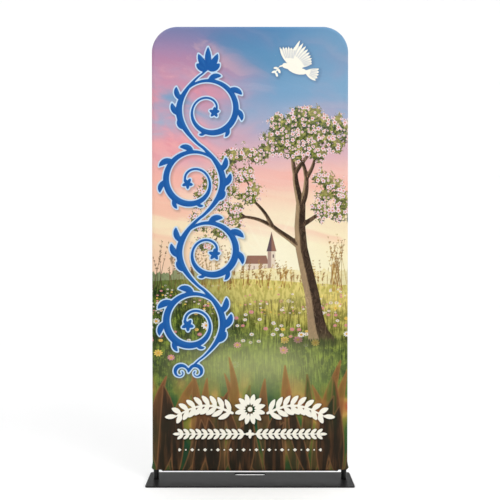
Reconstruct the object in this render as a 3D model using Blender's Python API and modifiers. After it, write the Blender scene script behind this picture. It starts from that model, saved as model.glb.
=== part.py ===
"""Church banner: a printed stretch cloth sleeve on a tube frame, which slips over two posts on a steel plate.

Metres, +Z up. The printed panel faces -Y, the plate lies on z = 0, and its middle is at x = y = 0.
"""

import math

import bmesh
import bpy
from mathutils import Matrix, Vector

COLLECTION = "church_banner"
CUTTERS = "church_banner_cutters"
CLEARANCE = 0.0003

# Sleeve, measured over the cloth
COVER_WIDTH = 0.914
COVER_TOP = 2.120
COVER_HEM = 0.045
COVER_CORNER_RADIUS = 0.120
CLOTH = 0.001

# Tube frame inside the sleeve
TUBE_RADIUS = 0.016
TUBE_WALL = 0.0015
CORNER_STUB = 0.060
RAIL_HALF = 0.404
RAIL_NECK = 0.009
RAIL_SPIGOT_RADIUS = 0.010
RAIL_SPIGOT_WALL = 0.002

# Where the sleeve's hem opens for a post: it leaves the rail at HEM_WRAP_END and hangs free from HEM_FREE
HEM_WRAP_END = 0.404
HEM_FREE = 0.422
HEM_RISE = 0.0095
SEAM_FLARE = {-1: 0.0055, 1: 0.0080}
SEAM_LIFT = {-1: 0.0050, 1: 0.0070}
FLARE_HEIGHT = 0.036
FLARE_POWER = 1.4

# Posts and plate
POST_RADIUS = 0.0127
POST_WALL = 0.002
POST_TOP = 0.200
PLATE_WIDTH = 0.958
PLATE_DEPTH = 0.250
PLATE_THICKNESS = 0.006
PLATE_CORNER_RADIUS = 0.012
PLATE_EDGE = 0.0008
SLOT_LENGTH = 0.152
SLOT_WIDTH = 0.037
SLOT_FROM_BACK = 0.018
SLOT_END_FLAT = 0.00003

# Fineness
ROLL_STEPS = 8
CORNER_STEPS = 16
HEM_STEPS = 6
FRAME_RESOLUTION = 8
POST_RESOLUTION = 14
ROUND_STEPS = 32
PLATE_CORNER_STEPS = 8
PLATE_EDGE_STEPS = 2
FLARE_STEPS = 4
SIDE_STEPS = 8
HEM_WRAPPED_STEPS = 8
HEM_LEAVING_STEPS = 6
SMOOTH_ANGLE = math.radians(35)
SHARP_EDGE = math.radians(60)
WELD = 0.00001
LEAST_CURL = 0.01
CUTTER_DEPTHS = 3

# What follows from those sizes
ROLL = TUBE_RADIUS + CLEARANCE + CLOTH
AXIS_X = COVER_WIDTH / 2 - ROLL
RAIL_Z = COVER_HEM + ROLL
TOP_Z = COVER_TOP - ROLL
BEND_RADIUS = COVER_CORNER_RADIUS - ROLL
BEND_X = AXIS_X - BEND_RADIUS
BEND_Z = TOP_Z - BEND_RADIUS
UPRIGHT_BOTTOM = COVER_HEM + HEM_RISE + CLOTH
SLOT_Y = PLATE_DEPTH / 2 - SLOT_FROM_BACK - SLOT_WIDTH / 2
SEAM_HALF_GAP = CLEARANCE


def clear_scene():
    for obj in list(bpy.data.objects):
        bpy.data.objects.remove(obj, do_unlink=True)


def new_collection(name):
    collection = bpy.data.collections.new(name)
    bpy.context.scene.collection.children.link(collection)
    return collection


def new_material(name, colour, roughness, metallic):
    material = bpy.data.materials.new(name)
    material.use_nodes = True
    shader = material.node_tree.nodes["Principled BSDF"]
    shader.inputs["Base Color"].default_value = (*colour, 1.0)
    shader.inputs["Roughness"].default_value = roughness
    shader.inputs["Metallic"].default_value = metallic
    material.diffuse_color = (*colour, 1.0)
    return material


def add_part(name, mesh, material):
    obj = bpy.data.objects.new(name, mesh)
    parts.objects.link(obj)
    mesh.materials.clear()
    mesh.materials.append(material)
    mesh.shade_smooth()
    mesh.set_sharp_from_angle(angle=SMOOTH_ANGLE)
    return obj


def mesh_of(obj):
    """The evaluated mesh of an object in world space, its doubles welded. The object itself is removed."""
    graph = bpy.context.evaluated_depsgraph_get()
    mesh = bpy.data.meshes.new_from_object(obj.evaluated_get(graph))
    mesh.transform(obj.matrix_world)
    bpy.data.objects.remove(obj, do_unlink=True)
    work = bmesh.new()
    work.from_mesh(mesh)
    bmesh.ops.remove_doubles(work, verts=work.verts, dist=WELD)
    bmesh.ops.recalc_face_normals(work, faces=work.faces)
    work.to_mesh(mesh)
    work.free()
    return mesh


def poly_curve(name, points, closed):
    curve = bpy.data.curves.new(name, "CURVE")
    spline = curve.splines.new("POLY")
    spline.points.add(len(points) - 1)
    for point, place in zip(spline.points, points):
        point.co = (*place, 1.0)
    spline.use_cyclic_u = closed
    obj = bpy.data.objects.new(name, curve)
    parts.objects.link(obj)
    return obj


def tube_mesh(name, path, radius, resolution):
    """The open outer skin of a round tube along a path, with its faces pointing outwards."""
    guide = poly_curve(name, path, closed=False)
    guide.data.dimensions = "3D"
    guide.data.bevel_depth = radius
    guide.data.bevel_resolution = resolution
    guide.data.use_fill_caps = False
    mesh = mesh_of(guide)
    first = mesh.polygons[0]
    outward = first.center - nearest_on_path(first.center, path)
    if first.normal.dot(outward) < 0:
        mesh.flip_normals()
    return mesh


def nearest_on_path(place, path):
    best = None
    for start, end in zip(path, path[1:]):
        run = Vector(end) - Vector(start)
        share = min(max((place - Vector(start)).dot(run) / run.length_squared, 0.0), 1.0)
        near = Vector(start) + run * share
        if best is None or (near - place).length < (best - place).length:
            best = near
    return best


def add_tube(name, path, radius, wall, resolution, material):
    obj = add_part(name, tube_mesh(name, path, radius, resolution), material)
    shell = obj.modifiers.new("wall", "SOLIDIFY")
    shell.thickness = wall
    shell.offset = -1.0
    return obj


def arc(centre, radius, start, end, steps):
    """Points on an arc in the XZ plane, its two ends left in."""
    points = []
    for step in range(steps + 1):
        angle = start + (end - start) * step / steps
        points.append((centre[0] + radius * math.cos(angle), 0.0, centre[1] + radius * math.sin(angle)))
    return points


def mirrored(side, points):
    return [(side * x, y, z) for x, y, z in points]


def cut(obj, cutter, name):
    cutter.hide_render = True
    cutter.display_type = "WIRE"
    boolean = obj.modifiers.new(name, "BOOLEAN")
    boolean.operation = "DIFFERENCE"
    boolean.solver = "EXACT"
    boolean.object = cutter


def add_cutter(name, mesh):
    obj = bpy.data.objects.new(name, mesh)
    cutters.objects.link(obj)
    return obj


def flat_outline(name, points, thickness):
    """A closed solid: an outline in the XY plane, given its thickness evenly about z = 0."""
    guide = poly_curve(name, points, closed=True)
    guide.data.dimensions = "2D"
    guide.data.fill_mode = "BOTH"
    guide.data.extrude = thickness / 2
    return mesh_of(guide)


def rounded_rectangle(width, depth, radius, steps):
    """Points round a rectangle in the XY plane, anticlockwise, with a quarter circle at each corner."""
    points = []
    for quarter, (side_x, side_y) in enumerate(((1, 1), (-1, 1), (-1, -1), (1, -1))):
        centre_x = side_x * (width / 2 - radius)
        centre_y = side_y * (depth / 2 - radius)
        for step in range(steps + 1):
            angle = math.pi / 2 * (quarter + step / steps)
            points.append((centre_x + radius * math.cos(angle), centre_y + radius * math.sin(angle), 0.0))
    return points


def add_base_plate():
    """The flat steel plate, with its carrying slot near the back edge."""
    outline = rounded_rectangle(PLATE_WIDTH, PLATE_DEPTH, PLATE_CORNER_RADIUS, PLATE_CORNER_STEPS)
    mesh = flat_outline("base_plate", outline, PLATE_THICKNESS)
    mesh.transform(Matrix.Translation((0.0, 0.0, PLATE_THICKNESS / 2)))
    plate = add_part("base_plate", mesh, coated_steel)
    slot_radius = (SLOT_WIDTH - SLOT_END_FLAT) / 2
    slot = rounded_rectangle(SLOT_LENGTH, SLOT_WIDTH, slot_radius, PLATE_CORNER_STEPS)
    slot_mesh = flat_outline("hand_slot", slot, PLATE_THICKNESS * CUTTER_DEPTHS)
    slot_mesh.transform(Matrix.Translation((0.0, SLOT_Y, 0.0)))
    cut(plate, add_cutter("hand_slot", slot_mesh), "hand slot")
    edges = plate.modifiers.new("edges", "BEVEL")
    edges.width = PLATE_EDGE
    edges.segments = PLATE_EDGE_STEPS
    edges.limit_method = "ANGLE"
    edges.angle_limit = SHARP_EDGE


def add_posts():
    for name, side in (("post_left", -1), ("post_right", 1)):
        x = side * AXIS_X
        path = [(x, 0.0, PLATE_THICKNESS + CLEARANCE), (x, 0.0, POST_TOP)]
        add_tube(name, path, POST_RADIUS, POST_WALL, POST_RESOLUTION, black_paint)


def add_frame_tube(name, path):
    add_tube(name, path, TUBE_RADIUS, TUBE_WALL, FRAME_RESOLUTION, aluminium)


def add_frame():
    """Uprights, bent corners and the top rail, end to end round the sleeve."""
    corner_foot = BEND_Z - CORNER_STUB
    corner_end = BEND_X - CORNER_STUB
    bend = [(AXIS_X, 0.0, corner_foot)]
    bend += arc((BEND_X, BEND_Z), BEND_RADIUS, 0.0, math.pi / 2, CORNER_STEPS)
    bend += [(corner_end, 0.0, TOP_Z)]
    for word, side in (("left", -1), ("right", 1)):
        x = side * AXIS_X
        upright = [(x, 0.0, UPRIGHT_BOTTOM), (x, 0.0, corner_foot - CLEARANCE)]
        add_frame_tube("frame_upright_" + word, upright)
        add_frame_tube("frame_corner_" + word, mirrored(side, bend))
    rail_end = corner_end - CLEARANCE
    rail = [(-rail_end, 0.0, TOP_Z), (rail_end, 0.0, TOP_Z)]
    add_frame_tube("frame_top_rail", rail)


def add_bottom_rail():
    """The cross rail that the hem wraps: a tube necked down at both ends, each shaped to meet its upright."""
    neck_end = RAIL_HALF + RAIL_NECK
    upper = [
        (TUBE_RADIUS, RAIL_HALF),
        (RAIL_SPIGOT_RADIUS, neck_end),
        (RAIL_SPIGOT_RADIUS, AXIS_X),
        (RAIL_SPIGOT_RADIUS - RAIL_SPIGOT_WALL, AXIS_X),
        (RAIL_SPIGOT_RADIUS - RAIL_SPIGOT_WALL, neck_end),
        (TUBE_RADIUS - TUBE_WALL, RAIL_HALF),
    ]
    profile = upper + [(radius, -height) for radius, height in reversed(upper)]
    work = bmesh.new()
    corners = [work.verts.new((radius, 0.0, height)) for radius, height in profile]
    for index, corner in enumerate(corners):
        work.edges.new((corner, corners[(index + 1) % len(corners)]))
    mesh = bpy.data.meshes.new("frame_bottom_rail")
    work.to_mesh(mesh)
    work.free()
    turned = bpy.data.objects.new("frame_bottom_rail", mesh)
    parts.objects.link(turned)
    screw = turned.modifiers.new("turn", "SCREW")
    screw.angle = math.tau
    screw.steps = ROUND_STEPS
    screw.render_steps = ROUND_STEPS
    screw.use_merge_vertices = True
    screw.merge_threshold = WELD
    turned.rotation_euler = (0.0, math.pi / 2, 0.0)
    turned.location = (0.0, 0.0, RAIL_Z)
    bpy.context.view_layer.update()
    rail = add_part("frame_bottom_rail", mesh_of(turned), aluminium)
    for word, side in (("left", -1), ("right", 1)):
        work = bmesh.new()
        bmesh.ops.create_cone(
            work,
            cap_ends=True,
            segments=ROUND_STEPS,
            radius1=TUBE_RADIUS + CLEARANCE,
            radius2=TUBE_RADIUS + CLEARANCE,
            depth=2 * TUBE_RADIUS * CUTTER_DEPTHS,
            matrix=Matrix.Translation((side * AXIS_X, 0.0, RAIL_Z)),
        )
        saddle = bpy.data.meshes.new("saddle_" + word)
        work.to_mesh(saddle)
        work.free()
        cut(rail, add_cutter("saddle_" + word, saddle), "saddle " + word)


def smooth(share):
    share = min(max(share, 0.0), 1.0)
    return share * share * (3 - 2 * share)


def flare(side, height):
    """How far the side seam stands out past the upright, near its lower end."""
    lowest = COVER_HEM + HEM_RISE
    share = (lowest + FLARE_HEIGHT - height) / FLARE_HEIGHT
    return SEAM_FLARE[side] * min(max(share, 0.0), 1.0) ** FLARE_POWER


def roll_point(border, outward, extra, step):
    """A point of the quarter round between the flat face (step 0) and the seam (the last step)."""
    angle = math.pi / 2 * step / ROLL_STEPS
    out = (ROLL + extra) * math.sin(angle)
    depth = SEAM_HALF_GAP + (ROLL - SEAM_HALF_GAP) * math.cos(angle)
    return (border[0] + outward[0] * out, -depth, border[1] + outward[1] * out)


def side_ribs(side):
    """Heights up one side where the sheet gets a rib, close together where the seam flares."""
    lowest = RAIL_Z
    flare_top = COVER_HEM + HEM_RISE + FLARE_HEIGHT
    heights = [lowest + (flare_top - lowest) * step / FLARE_STEPS for step in range(FLARE_STEPS + 1)]
    heights += [flare_top + (BEND_Z - flare_top) * step / SIDE_STEPS for step in range(1, SIDE_STEPS)]
    return [((side * AXIS_X, z), (side, 0.0), flare(side, z)) for z in heights]


def corner_ribs(side):
    ribs = []
    for step in range(CORNER_STEPS + 1):
        angle = math.pi / 2 * step / CORNER_STEPS
        outward = (side * math.cos(angle), math.sin(angle))
        border = (side * BEND_X + outward[0] * BEND_RADIUS, BEND_Z + outward[1] * BEND_RADIUS)
        ribs.append((border, outward, 0.0))
    return ribs


def hem_columns():
    """Places across the hem: close together where it leaves the rail, wide apart along the rail."""
    wrapped = [HEM_WRAP_END * step / HEM_WRAPPED_STEPS for step in range(HEM_WRAPPED_STEPS)]
    leaving_width = HEM_FREE - HEM_WRAP_END
    leaving_steps = range(HEM_LEAVING_STEPS + 1)
    half = wrapped + [HEM_WRAP_END + leaving_width * step / HEM_LEAVING_STEPS for step in leaving_steps]
    return [-x for x in reversed(half)] + half[1:]


def hem_point(x, step):
    """A point on the way down to the hem: round under the rail in the middle, straight down beside a post.

    The share of the wrap falls from 1 to 0 past the rail's end. The curl and the run of cloth shrink with it.
    """
    wrap = 1.0 - smooth((abs(x) - HEM_WRAP_END) / (HEM_FREE - HEM_WRAP_END))
    straight = ROLL - HEM_RISE
    run = straight + (ROLL * math.pi / 2 - straight) * wrap**3
    along = run * step / HEM_STEPS
    curl = wrap / ROLL
    if curl * run < LEAST_CURL:
        return (x, -ROLL, RAIL_Z - along)
    down = min(math.sin(curl * along) / curl, ROLL)
    back = (1 - math.cos(curl * along)) / curl
    return (x, min(back - ROLL, -SEAM_HALF_GAP), RAIL_Z - down)


def seam_hem_point(side, roll_step, step):
    """A point on the way down to the hem at the rolled side, whose seam is drawn up and stands out."""
    share = math.sin(math.pi / 2 * roll_step / ROLL_STEPS)
    hem = COVER_HEM + HEM_RISE + SEAM_LIFT[side] * smooth(2 * share - 1)
    height = RAIL_Z + (hem - RAIL_Z) * step / HEM_STEPS
    return roll_point((side * AXIS_X, height), (side, 0.0), flare(side, height), roll_step)


def panel_mesh(name, facing):
    """One panel of the sleeve as an open sheet: its flat face, the rolled sides and top, and the hem.

    facing is 1 for the panel that faces -Y, and -1 for its mirror image behind.
    """
    left = side_ribs(-1) + corner_ribs(-1)
    right = side_ribs(1) + corner_ribs(1)
    ribs = left + right[::-1]
    work = bmesh.new()

    def vertex(place):
        return work.verts.new((place[0], place[1] * facing, place[2]))

    rolls = []
    for border, outward, extra in ribs:
        rolls.append([vertex(roll_point(border, outward, extra, step)) for step in range(ROLL_STEPS + 1)])
    columns = hem_columns()
    hem_rows = [rolls[0][::-1] + [vertex(hem_point(x, 0)) for x in columns] + rolls[-1]]
    for row in range(1, HEM_STEPS + 1):
        at_left = [vertex(seam_hem_point(-1, step, row)) for step in range(ROLL_STEPS + 1)]
        at_right = [vertex(seam_hem_point(1, step, row)) for step in range(ROLL_STEPS + 1)]
        hem_rows.append(at_left[::-1] + [vertex(hem_point(x, row)) for x in columns] + at_right)

    def face(corners):
        work.faces.new(corners if facing > 0 else corners[::-1])

    for roll, following in zip(rolls, rolls[1:]):
        for step in range(ROLL_STEPS):
            face([roll[step], following[step], following[step + 1], roll[step + 1]])
    for row, below in zip(hem_rows, hem_rows[1:]):
        for index in range(len(row) - 1):
            face([row[index], below[index], below[index + 1], row[index + 1]])
    bottom = hem_rows[0][ROLL_STEPS : len(hem_rows[0]) - ROLL_STEPS]
    across = [roll[0] for roll in rolls[1:-1]]
    face(bottom + across[::-1])
    mesh = bpy.data.meshes.new(name)
    work.to_mesh(mesh)
    work.free()
    return mesh


def add_cover():
    """The sleeve: a printed front panel and a plain back panel, whose seams run round the frame."""
    for name, facing, material in (("cover_front", 1, printed_cloth), ("cover_back", -1, plain_cloth)):
        panel = add_part(name, panel_mesh(name, facing), material)
        cloth = panel.modifiers.new("cloth", "SOLIDIFY")
        cloth.thickness = CLOTH
        cloth.offset = -1.0
        cloth.use_even_offset = True


clear_scene()
parts = new_collection(COLLECTION)
cutters = new_collection(CUTTERS)
cutters.hide_render = True
coated_steel = new_material("coated_steel", (0.035, 0.035, 0.034), 0.45, 0.0)
black_paint = new_material("black_paint", (0.012, 0.012, 0.012), 0.40, 0.0)
aluminium = new_material("aluminium", (0.62, 0.63, 0.65), 0.35, 1.0)
printed_cloth = new_material("printed_cloth", (0.55, 0.47, 0.35), 0.80, 0.0)
plain_cloth = new_material("plain_cloth", (0.80, 0.80, 0.79), 0.80, 0.0)
add_base_plate()
add_posts()
add_frame()
add_bottom_rail()
add_cover()
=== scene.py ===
"""Church banner: fine surfaces and finishes for a printed stretch cloth sleeve on its tube stand.

The file is laid out as an add-on. Each piece, or group of like pieces, has an operator, and main() runs them in
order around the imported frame. Sizes are in metres, the printed panel faces -Y, and the floor is z = 0.
"""

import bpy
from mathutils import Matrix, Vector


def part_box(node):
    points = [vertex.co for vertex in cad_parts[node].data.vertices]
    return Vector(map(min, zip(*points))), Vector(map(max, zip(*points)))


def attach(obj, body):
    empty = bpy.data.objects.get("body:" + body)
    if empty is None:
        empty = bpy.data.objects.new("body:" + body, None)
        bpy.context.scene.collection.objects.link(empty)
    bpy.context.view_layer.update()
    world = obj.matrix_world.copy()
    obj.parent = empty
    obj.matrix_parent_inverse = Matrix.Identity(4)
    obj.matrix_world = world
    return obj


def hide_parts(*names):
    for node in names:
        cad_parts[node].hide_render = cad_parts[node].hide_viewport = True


bl_info = {
    "name": "Church Banner",
    "version": (1, 0, 0),
    "blender": (4, 5, 0),
    "location": "3D View > Sidebar > Banner",
    "description": "Dresses a church banner: its printed sleeve, its stand, and a plain stage",
    "category": "Object",
}

import math

import bpy
import numpy as np
from bpy.props import FloatProperty, FloatVectorProperty, IntProperty, PointerProperty
from mathutils import Vector

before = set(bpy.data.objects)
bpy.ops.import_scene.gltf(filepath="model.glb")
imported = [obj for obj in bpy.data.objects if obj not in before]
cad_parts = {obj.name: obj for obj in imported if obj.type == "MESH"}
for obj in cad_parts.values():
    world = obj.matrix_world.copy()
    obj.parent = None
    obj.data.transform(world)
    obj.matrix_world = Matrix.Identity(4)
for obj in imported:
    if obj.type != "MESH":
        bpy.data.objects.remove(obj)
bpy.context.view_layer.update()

# Sizes read from the frame
FRONT_LOW, FRONT_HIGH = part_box("cover_front")
PLATE_LOW, PLATE_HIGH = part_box("base_plate")
POST_LOW, POST_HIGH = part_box("post_right")
ROLL = -FRONT_LOW.y
HEM = FRONT_LOW.z
TOP = FRONT_HIGH.z
AXIS_X = (POST_LOW.x + POST_HIGH.x) / 2
POST_RADIUS = (POST_HIGH.x - POST_LOW.x) / 2
RAIL_Z = HEM + ROLL
TOP_Z = TOP - ROLL
PLATE_TOP = PLATE_HIGH.z

# Shape of the sleeve, as the solids have it
CLOTH = 0.001
SEAM_HALF_GAP = 0.0003
HEM_WRAP_END = 0.404
HEM_FREE = 0.422
HEM_RISE = 0.0095
SEAM_FLARE = {-1: 0.0055, 1: 0.0080}
SEAM_LIFT = {-1: 0.0050, 1: 0.0070}
FLARE_HEIGHT = 0.036
FLARE_POWER = 1.4
FINE_MARGIN = 0.004
HEM_STEPS = 6
HEM_TURN_IN = ((0.0003, CLOTH / 2), (0.0, CLOTH), (-0.003, CLOTH), (-0.007, CLOTH))
SEAM_TURN_IN = (0.0004, CLOTH)
SEAM_TURN_GAPS = (SEAM_HALF_GAP * 0.6, SEAM_HALF_GAP * 0.4)

# Knit: the width of a loop, its height, and how far it stands out
KNIT_WALE = 0.0011
KNIT_COURSE = 0.0009
KNIT_DEPTH = 0.0001

# Shape of the plate and its slot, as the solids have it
PLATE_CORNER = 0.012
PLATE_EDGE = 0.0008
FLAT_BORDER = 0.0008
SLOT_LENGTH = 0.152
SLOT_WIDTH = 0.037
SLOT_FROM_BACK = 0.018
POST_WALL = 0.002
POST_LIP = 0.0005

# Fineness of the plate and the posts: points in a loop, how many are skipped, and steps round the rounded edges
LOOP_POINTS = 4000
RIM_STEP = 12
SLOT_STEP = 25
EDGE_STEPS = 4
LIP_STEPS = 3
POST_SIDES = 72
SHARP = math.radians(50)

# Sewing: how far each row of stitches is above the hem, how far inside the wrap's end it starts, its share of
# the quarter turn to the seam, a stitch's share of the pitch, and how far either way its direction is read
STITCH_RISES = (0.0022, 0.0052)
STITCH_LEAD = 0.008
STITCH_TURN = 0.93
STITCH_SHARE = 0.78
STITCH_LOOK = 0.0005

# Print: where its motifs stand and how far their distances are worked out, in metres on the cloth
FIELD_REACH = 0.12
STROKE_MARGIN = 0.03
VINE_MIDDLE = -0.228
VINE_FOOT = 0.575
VINE_SPACING = 0.330
VINE_SCROLLS = 4
GARLAND_HEIGHT = 0.338
LAUREL_HEIGHT = 0.222
DOT_ROW_HEIGHT = 0.148

QUARTER = math.pi / 2


def linear(red, green, blue):
    """A screen colour, 0 to 255, as the linear light that shaders work in."""
    shares = (np.array((red, green, blue)) / 255.0).clip(0, 1)
    return tuple(np.where(shares <= 0.04045, shares / 12.92, ((shares + 0.055) / 1.055) ** 2.4))


def size_property(name, description, default):
    """A length in metres."""
    return FloatProperty(name=name, description=description, default=default, precision=4, unit="LENGTH")


def colour_property(name, description, *screen):
    """A colour given as it looks on a screen, 0 to 255."""
    return FloatVectorProperty(
        name=name, description=description, default=linear(*screen), subtype="COLOR", size=3, min=0, max=1
    )


class BannerSizes(bpy.types.PropertyGroup):
    """Sizes of the sleeve's surface, its sewing and its print."""

    corner_radius: size_property("Corner radius", "Outer radius of the sleeve's top corners", 0.120)
    cell: size_property("Cloth cell", "Side of one cell of the front panel's surface", 0.0050)
    back_cell: size_property("Back cell", "Side of one cell of the back panel's surface", 0.0100)
    roll_steps: IntProperty(name="Roll steps", description="Steps round the sleeve's edge", default=8, min=3)
    stitch_pitch: size_property("Stitch pitch", "Distance from one hem stitch to the next", 0.0034)
    stitch_width: size_property("Thread width", "Thickness of the sewing thread", 0.0006)
    horizon: size_property("Horizon", "Height of the printed horizon over the floor", 0.985)


class BannerColours(bpy.types.PropertyGroup):
    """Colours of the print and the stand."""

    plate: colour_property("Plate", "Powder coat of the steel plate", 27, 27, 27)
    post: colour_property("Posts", "Satin paint of the posts", 12, 12, 12)
    tube: colour_property("Frame tubes", "Aluminium of the frame", 200, 202, 205)
    lining: colour_property("Back panel", "Plain white cloth of the back panel", 244, 244, 242)
    thread: colour_property("Back thread", "Thread of the back panel's hem", 226, 222, 212)
    dark_thread: colour_property("Front thread", "Thread of the printed panel's hem", 52, 42, 36)
    vine: colour_property("Vine", "Blue of the printed vine", 28, 92, 165)
    vine_edge: colour_property("Vine edge", "Pale edge round the printed vine", 196, 222, 244)
    ivory: colour_property("Garland", "Ivory of the printed garland", 255, 251, 236)
    wood: colour_property("Bark", "Brown of the printed tree", 112, 88, 68)
    sun: colour_property("Sun", "Glow of the low sun in the print", 255, 249, 222)
    cloth_white: FloatProperty(
        name="Cloth white",
        description="Share of the light that the cloth under the inks sends back",
        default=0.82,
        min=0,
        max=1,
        subtype="FACTOR",
    )


class BannerLight(bpy.types.PropertyGroup):
    """Studio light."""

    sky: FloatProperty(name="Sky", description="Strength of the even white light", default=1.0, min=0)
    key: FloatProperty(
        name="Key", description="Power of the large lamp at the upper right", default=92, min=0, unit="POWER"
    )
    top: FloatProperty(
        name="Top", description="Power of the large lamp overhead", default=16, min=0, unit="POWER"
    )
    floor: colour_property("Floor", "Colour of the floor and backdrop", 254, 254, 254)


def sizes():
    """The scene's sizes, which the sidebar shows."""
    return bpy.context.scene.banner_sizes


def colours():
    """The scene's colours, which the sidebar shows."""
    return bpy.context.scene.banner_colours


# Shader maths


class Wire:
    """A socket that reads as a number, a vector or a colour in Python expressions."""

    def __init__(self, paint, socket, kind="number"):
        self.paint = paint
        self.socket = socket
        self.kind = kind

    def __add__(self, other):
        return self.paint.maths("ADD", self, other)

    def __radd__(self, other):
        return self.paint.maths("ADD", other, self)

    def __sub__(self, other):
        return self.paint.maths("SUBTRACT", self, other)

    def __rsub__(self, other):
        return self.paint.maths("SUBTRACT", other, self)

    def __mul__(self, other):
        return self.paint.maths("MULTIPLY", self, other)

    def __rmul__(self, other):
        return self.paint.maths("MULTIPLY", other, self)

    def __truediv__(self, other):
        return self.paint.maths("DIVIDE", self, other)

    def __pow__(self, other):
        return self.paint.maths("POWER", self, other)

    def __abs__(self):
        return self.paint.maths("ABSOLUTE", self)

    def beside(self, output, kind="number"):
        """Another output of the node that this socket is on."""
        return Wire(self.paint, self.socket.node.outputs[output], kind)


class Paint:
    """A material and the node maths that paints it."""

    def __init__(self, name):
        self.material = bpy.data.materials.new(name)
        self.material.use_nodes = True
        self.tree = self.material.node_tree
        self.shader = self.tree.nodes["Principled BSDF"]

    def feed(self, socket, given):
        """Links a wire to a socket, or sets the socket to a number, a vector or a colour."""
        if isinstance(given, Wire):
            self.tree.links.new(given.socket, socket)
        elif hasattr(given, "__len__") and len(given) == 3 and len(socket.default_value) == 4:
            socket.default_value = (*given, 1.0)
        else:
            socket.default_value = given

    def node(self, kind, settings=None, inputs=None, output=0, gives="number"):
        """A node of a kind: its settings first, then its sockets by name or number, and the output it gives."""
        node = self.tree.nodes.new("ShaderNode" + kind)
        for name, setting in (settings or {}).items():
            if name == "stops":
                self.set_stops(node.color_ramp, setting)
            else:
                setattr(node, name, setting)
        for name, given in (inputs or {}).items():
            self.feed(node.inputs[name], given)
        return Wire(self, node.outputs[output], gives)

    @staticmethod
    def set_stops(ramp, stops):
        """Gives a ramp eased stops, each a place from 0 to 1 and a screen colour."""
        ramp.interpolation = "EASE"
        while len(ramp.elements) > 1:
            ramp.elements.remove(ramp.elements[-1])
        for index, (place, colour) in enumerate(stops):
            element = ramp.elements[0] if index == 0 else ramp.elements.new(place)
            element.position = place
            element.color = (*linear(*colour), 1.0)

    def maths(self, operation, *operands):
        """A Math node, or a Vector Math node where an operand is a vector or a colour."""
        kinds = [operand.kind for operand in operands if isinstance(operand, Wire) and operand.kind != "number"]
        if not kinds:
            return self.node("Math", {"operation": operation}, dict(enumerate(operands)))
        spread = []
        for operand in operands:
            alone = not isinstance(operand, Wire) and not hasattr(operand, "__len__")
            spread.append((operand, operand, operand) if alone else operand)
        return self.node("VectorMath", {"operation": operation}, dict(enumerate(spread)), gives=kinds[0])

    def sin(self, angle):
        return self.maths("SINE", angle)

    def least(self, one, other):
        return self.maths("MINIMUM", one, other)

    def most(self, one, other):
        return self.maths("MAXIMUM", one, other)

    def vector(self, x, y, z=0.0):
        return self.node("CombineXYZ", None, {"X": x, "Y": y, "Z": z}, gives="vector")

    def place(self):
        """The place on the object, in metres."""
        return self.node("TexCoord", None, None, "Object", "vector")

    def scaled(self, place, scale):
        """The place times a scale along each axis."""
        return self.node("Mapping", None, {"Vector": place, "Scale": scale}, gives="vector")

    def split(self, vector):
        """The three numbers of a vector."""
        x = self.node("SeparateXYZ", None, {0: vector})
        return x, x.beside(1), x.beside(2)

    def rise(self, value, low, high):
        """0 up to low, 1 from high, with a smooth way between them. low may be the greater."""
        ranges = {"Value": value, "From Min": low, "From Max": high}
        return self.node("MapRange", {"interpolation_type": "SMOOTHSTEP"}, ranges)

    def inside(self, distance, soft):
        """1 where a distance to a shape's edge is below 0, 0 outside it, with a soft way on both sides."""
        return self.rise(distance, soft, -soft)

    def mix(self, share, under, over):
        """Colour under where share is 0, and colour over where it is 1."""
        return self.node("Mix", {"data_type": "RGBA"}, {0: share, 6: under, 7: over}, 2, "colour")

    def tint(self, share, under, screen):
        """Colour under where share is 0, and a screen colour over it where share is 1."""
        return self.mix(share, under, linear(*screen))

    def between(self, share, one, other):
        """One screen colour where share is 0, and the other where it is 1."""
        return self.mix(share, linear(*one), linear(*other))

    def noise(self, place, scale, detail=4.0, roughness=0.55, dimensions="2D"):
        """Noise of about 0.5 on average, in the plane of the print."""
        settings = {"noise_dimensions": dimensions, "normalize": True}
        inputs = {"Vector": place, "Scale": scale, "Detail": detail, "Roughness": roughness}
        return self.node("TexNoise", settings, inputs)

    def solid_noise(self, place, scale, detail=4.0, roughness=0.55):
        """The same noise all through space."""
        return self.noise(place, scale, detail, roughness, "3D")

    def stretched_noise(self, u, v, fine_u, fine_v, detail=4.0, roughness=0.55):
        """Noise on the print that changes fine_u times a metre across it and fine_v times a metre up it."""
        return self.noise(self.vector(u * fine_u, v * fine_v), 1.0, detail, roughness)

    def ramp(self, value, stops):
        """A colour that runs through stops of screen colours as the value rises."""
        return self.node("ValToRGB", {"stops": stops}, {"Fac": value}, gives="colour")

    def bump(self, height, distance, strength=1.0):
        """A normal from a height that is worth a distance in metres."""
        inputs = {"Height": height, "Distance": distance, "Strength": strength}
        return self.node("Bump", None, inputs, gives="vector")

    def finish(self, **sockets):
        """Sets or links the shader's sockets, with _ for a space in a name."""
        for name, given in sockets.items():
            self.feed(self.shader.inputs[name.replace("_", " ")], given)
        return self.material


# Surfaces


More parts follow.
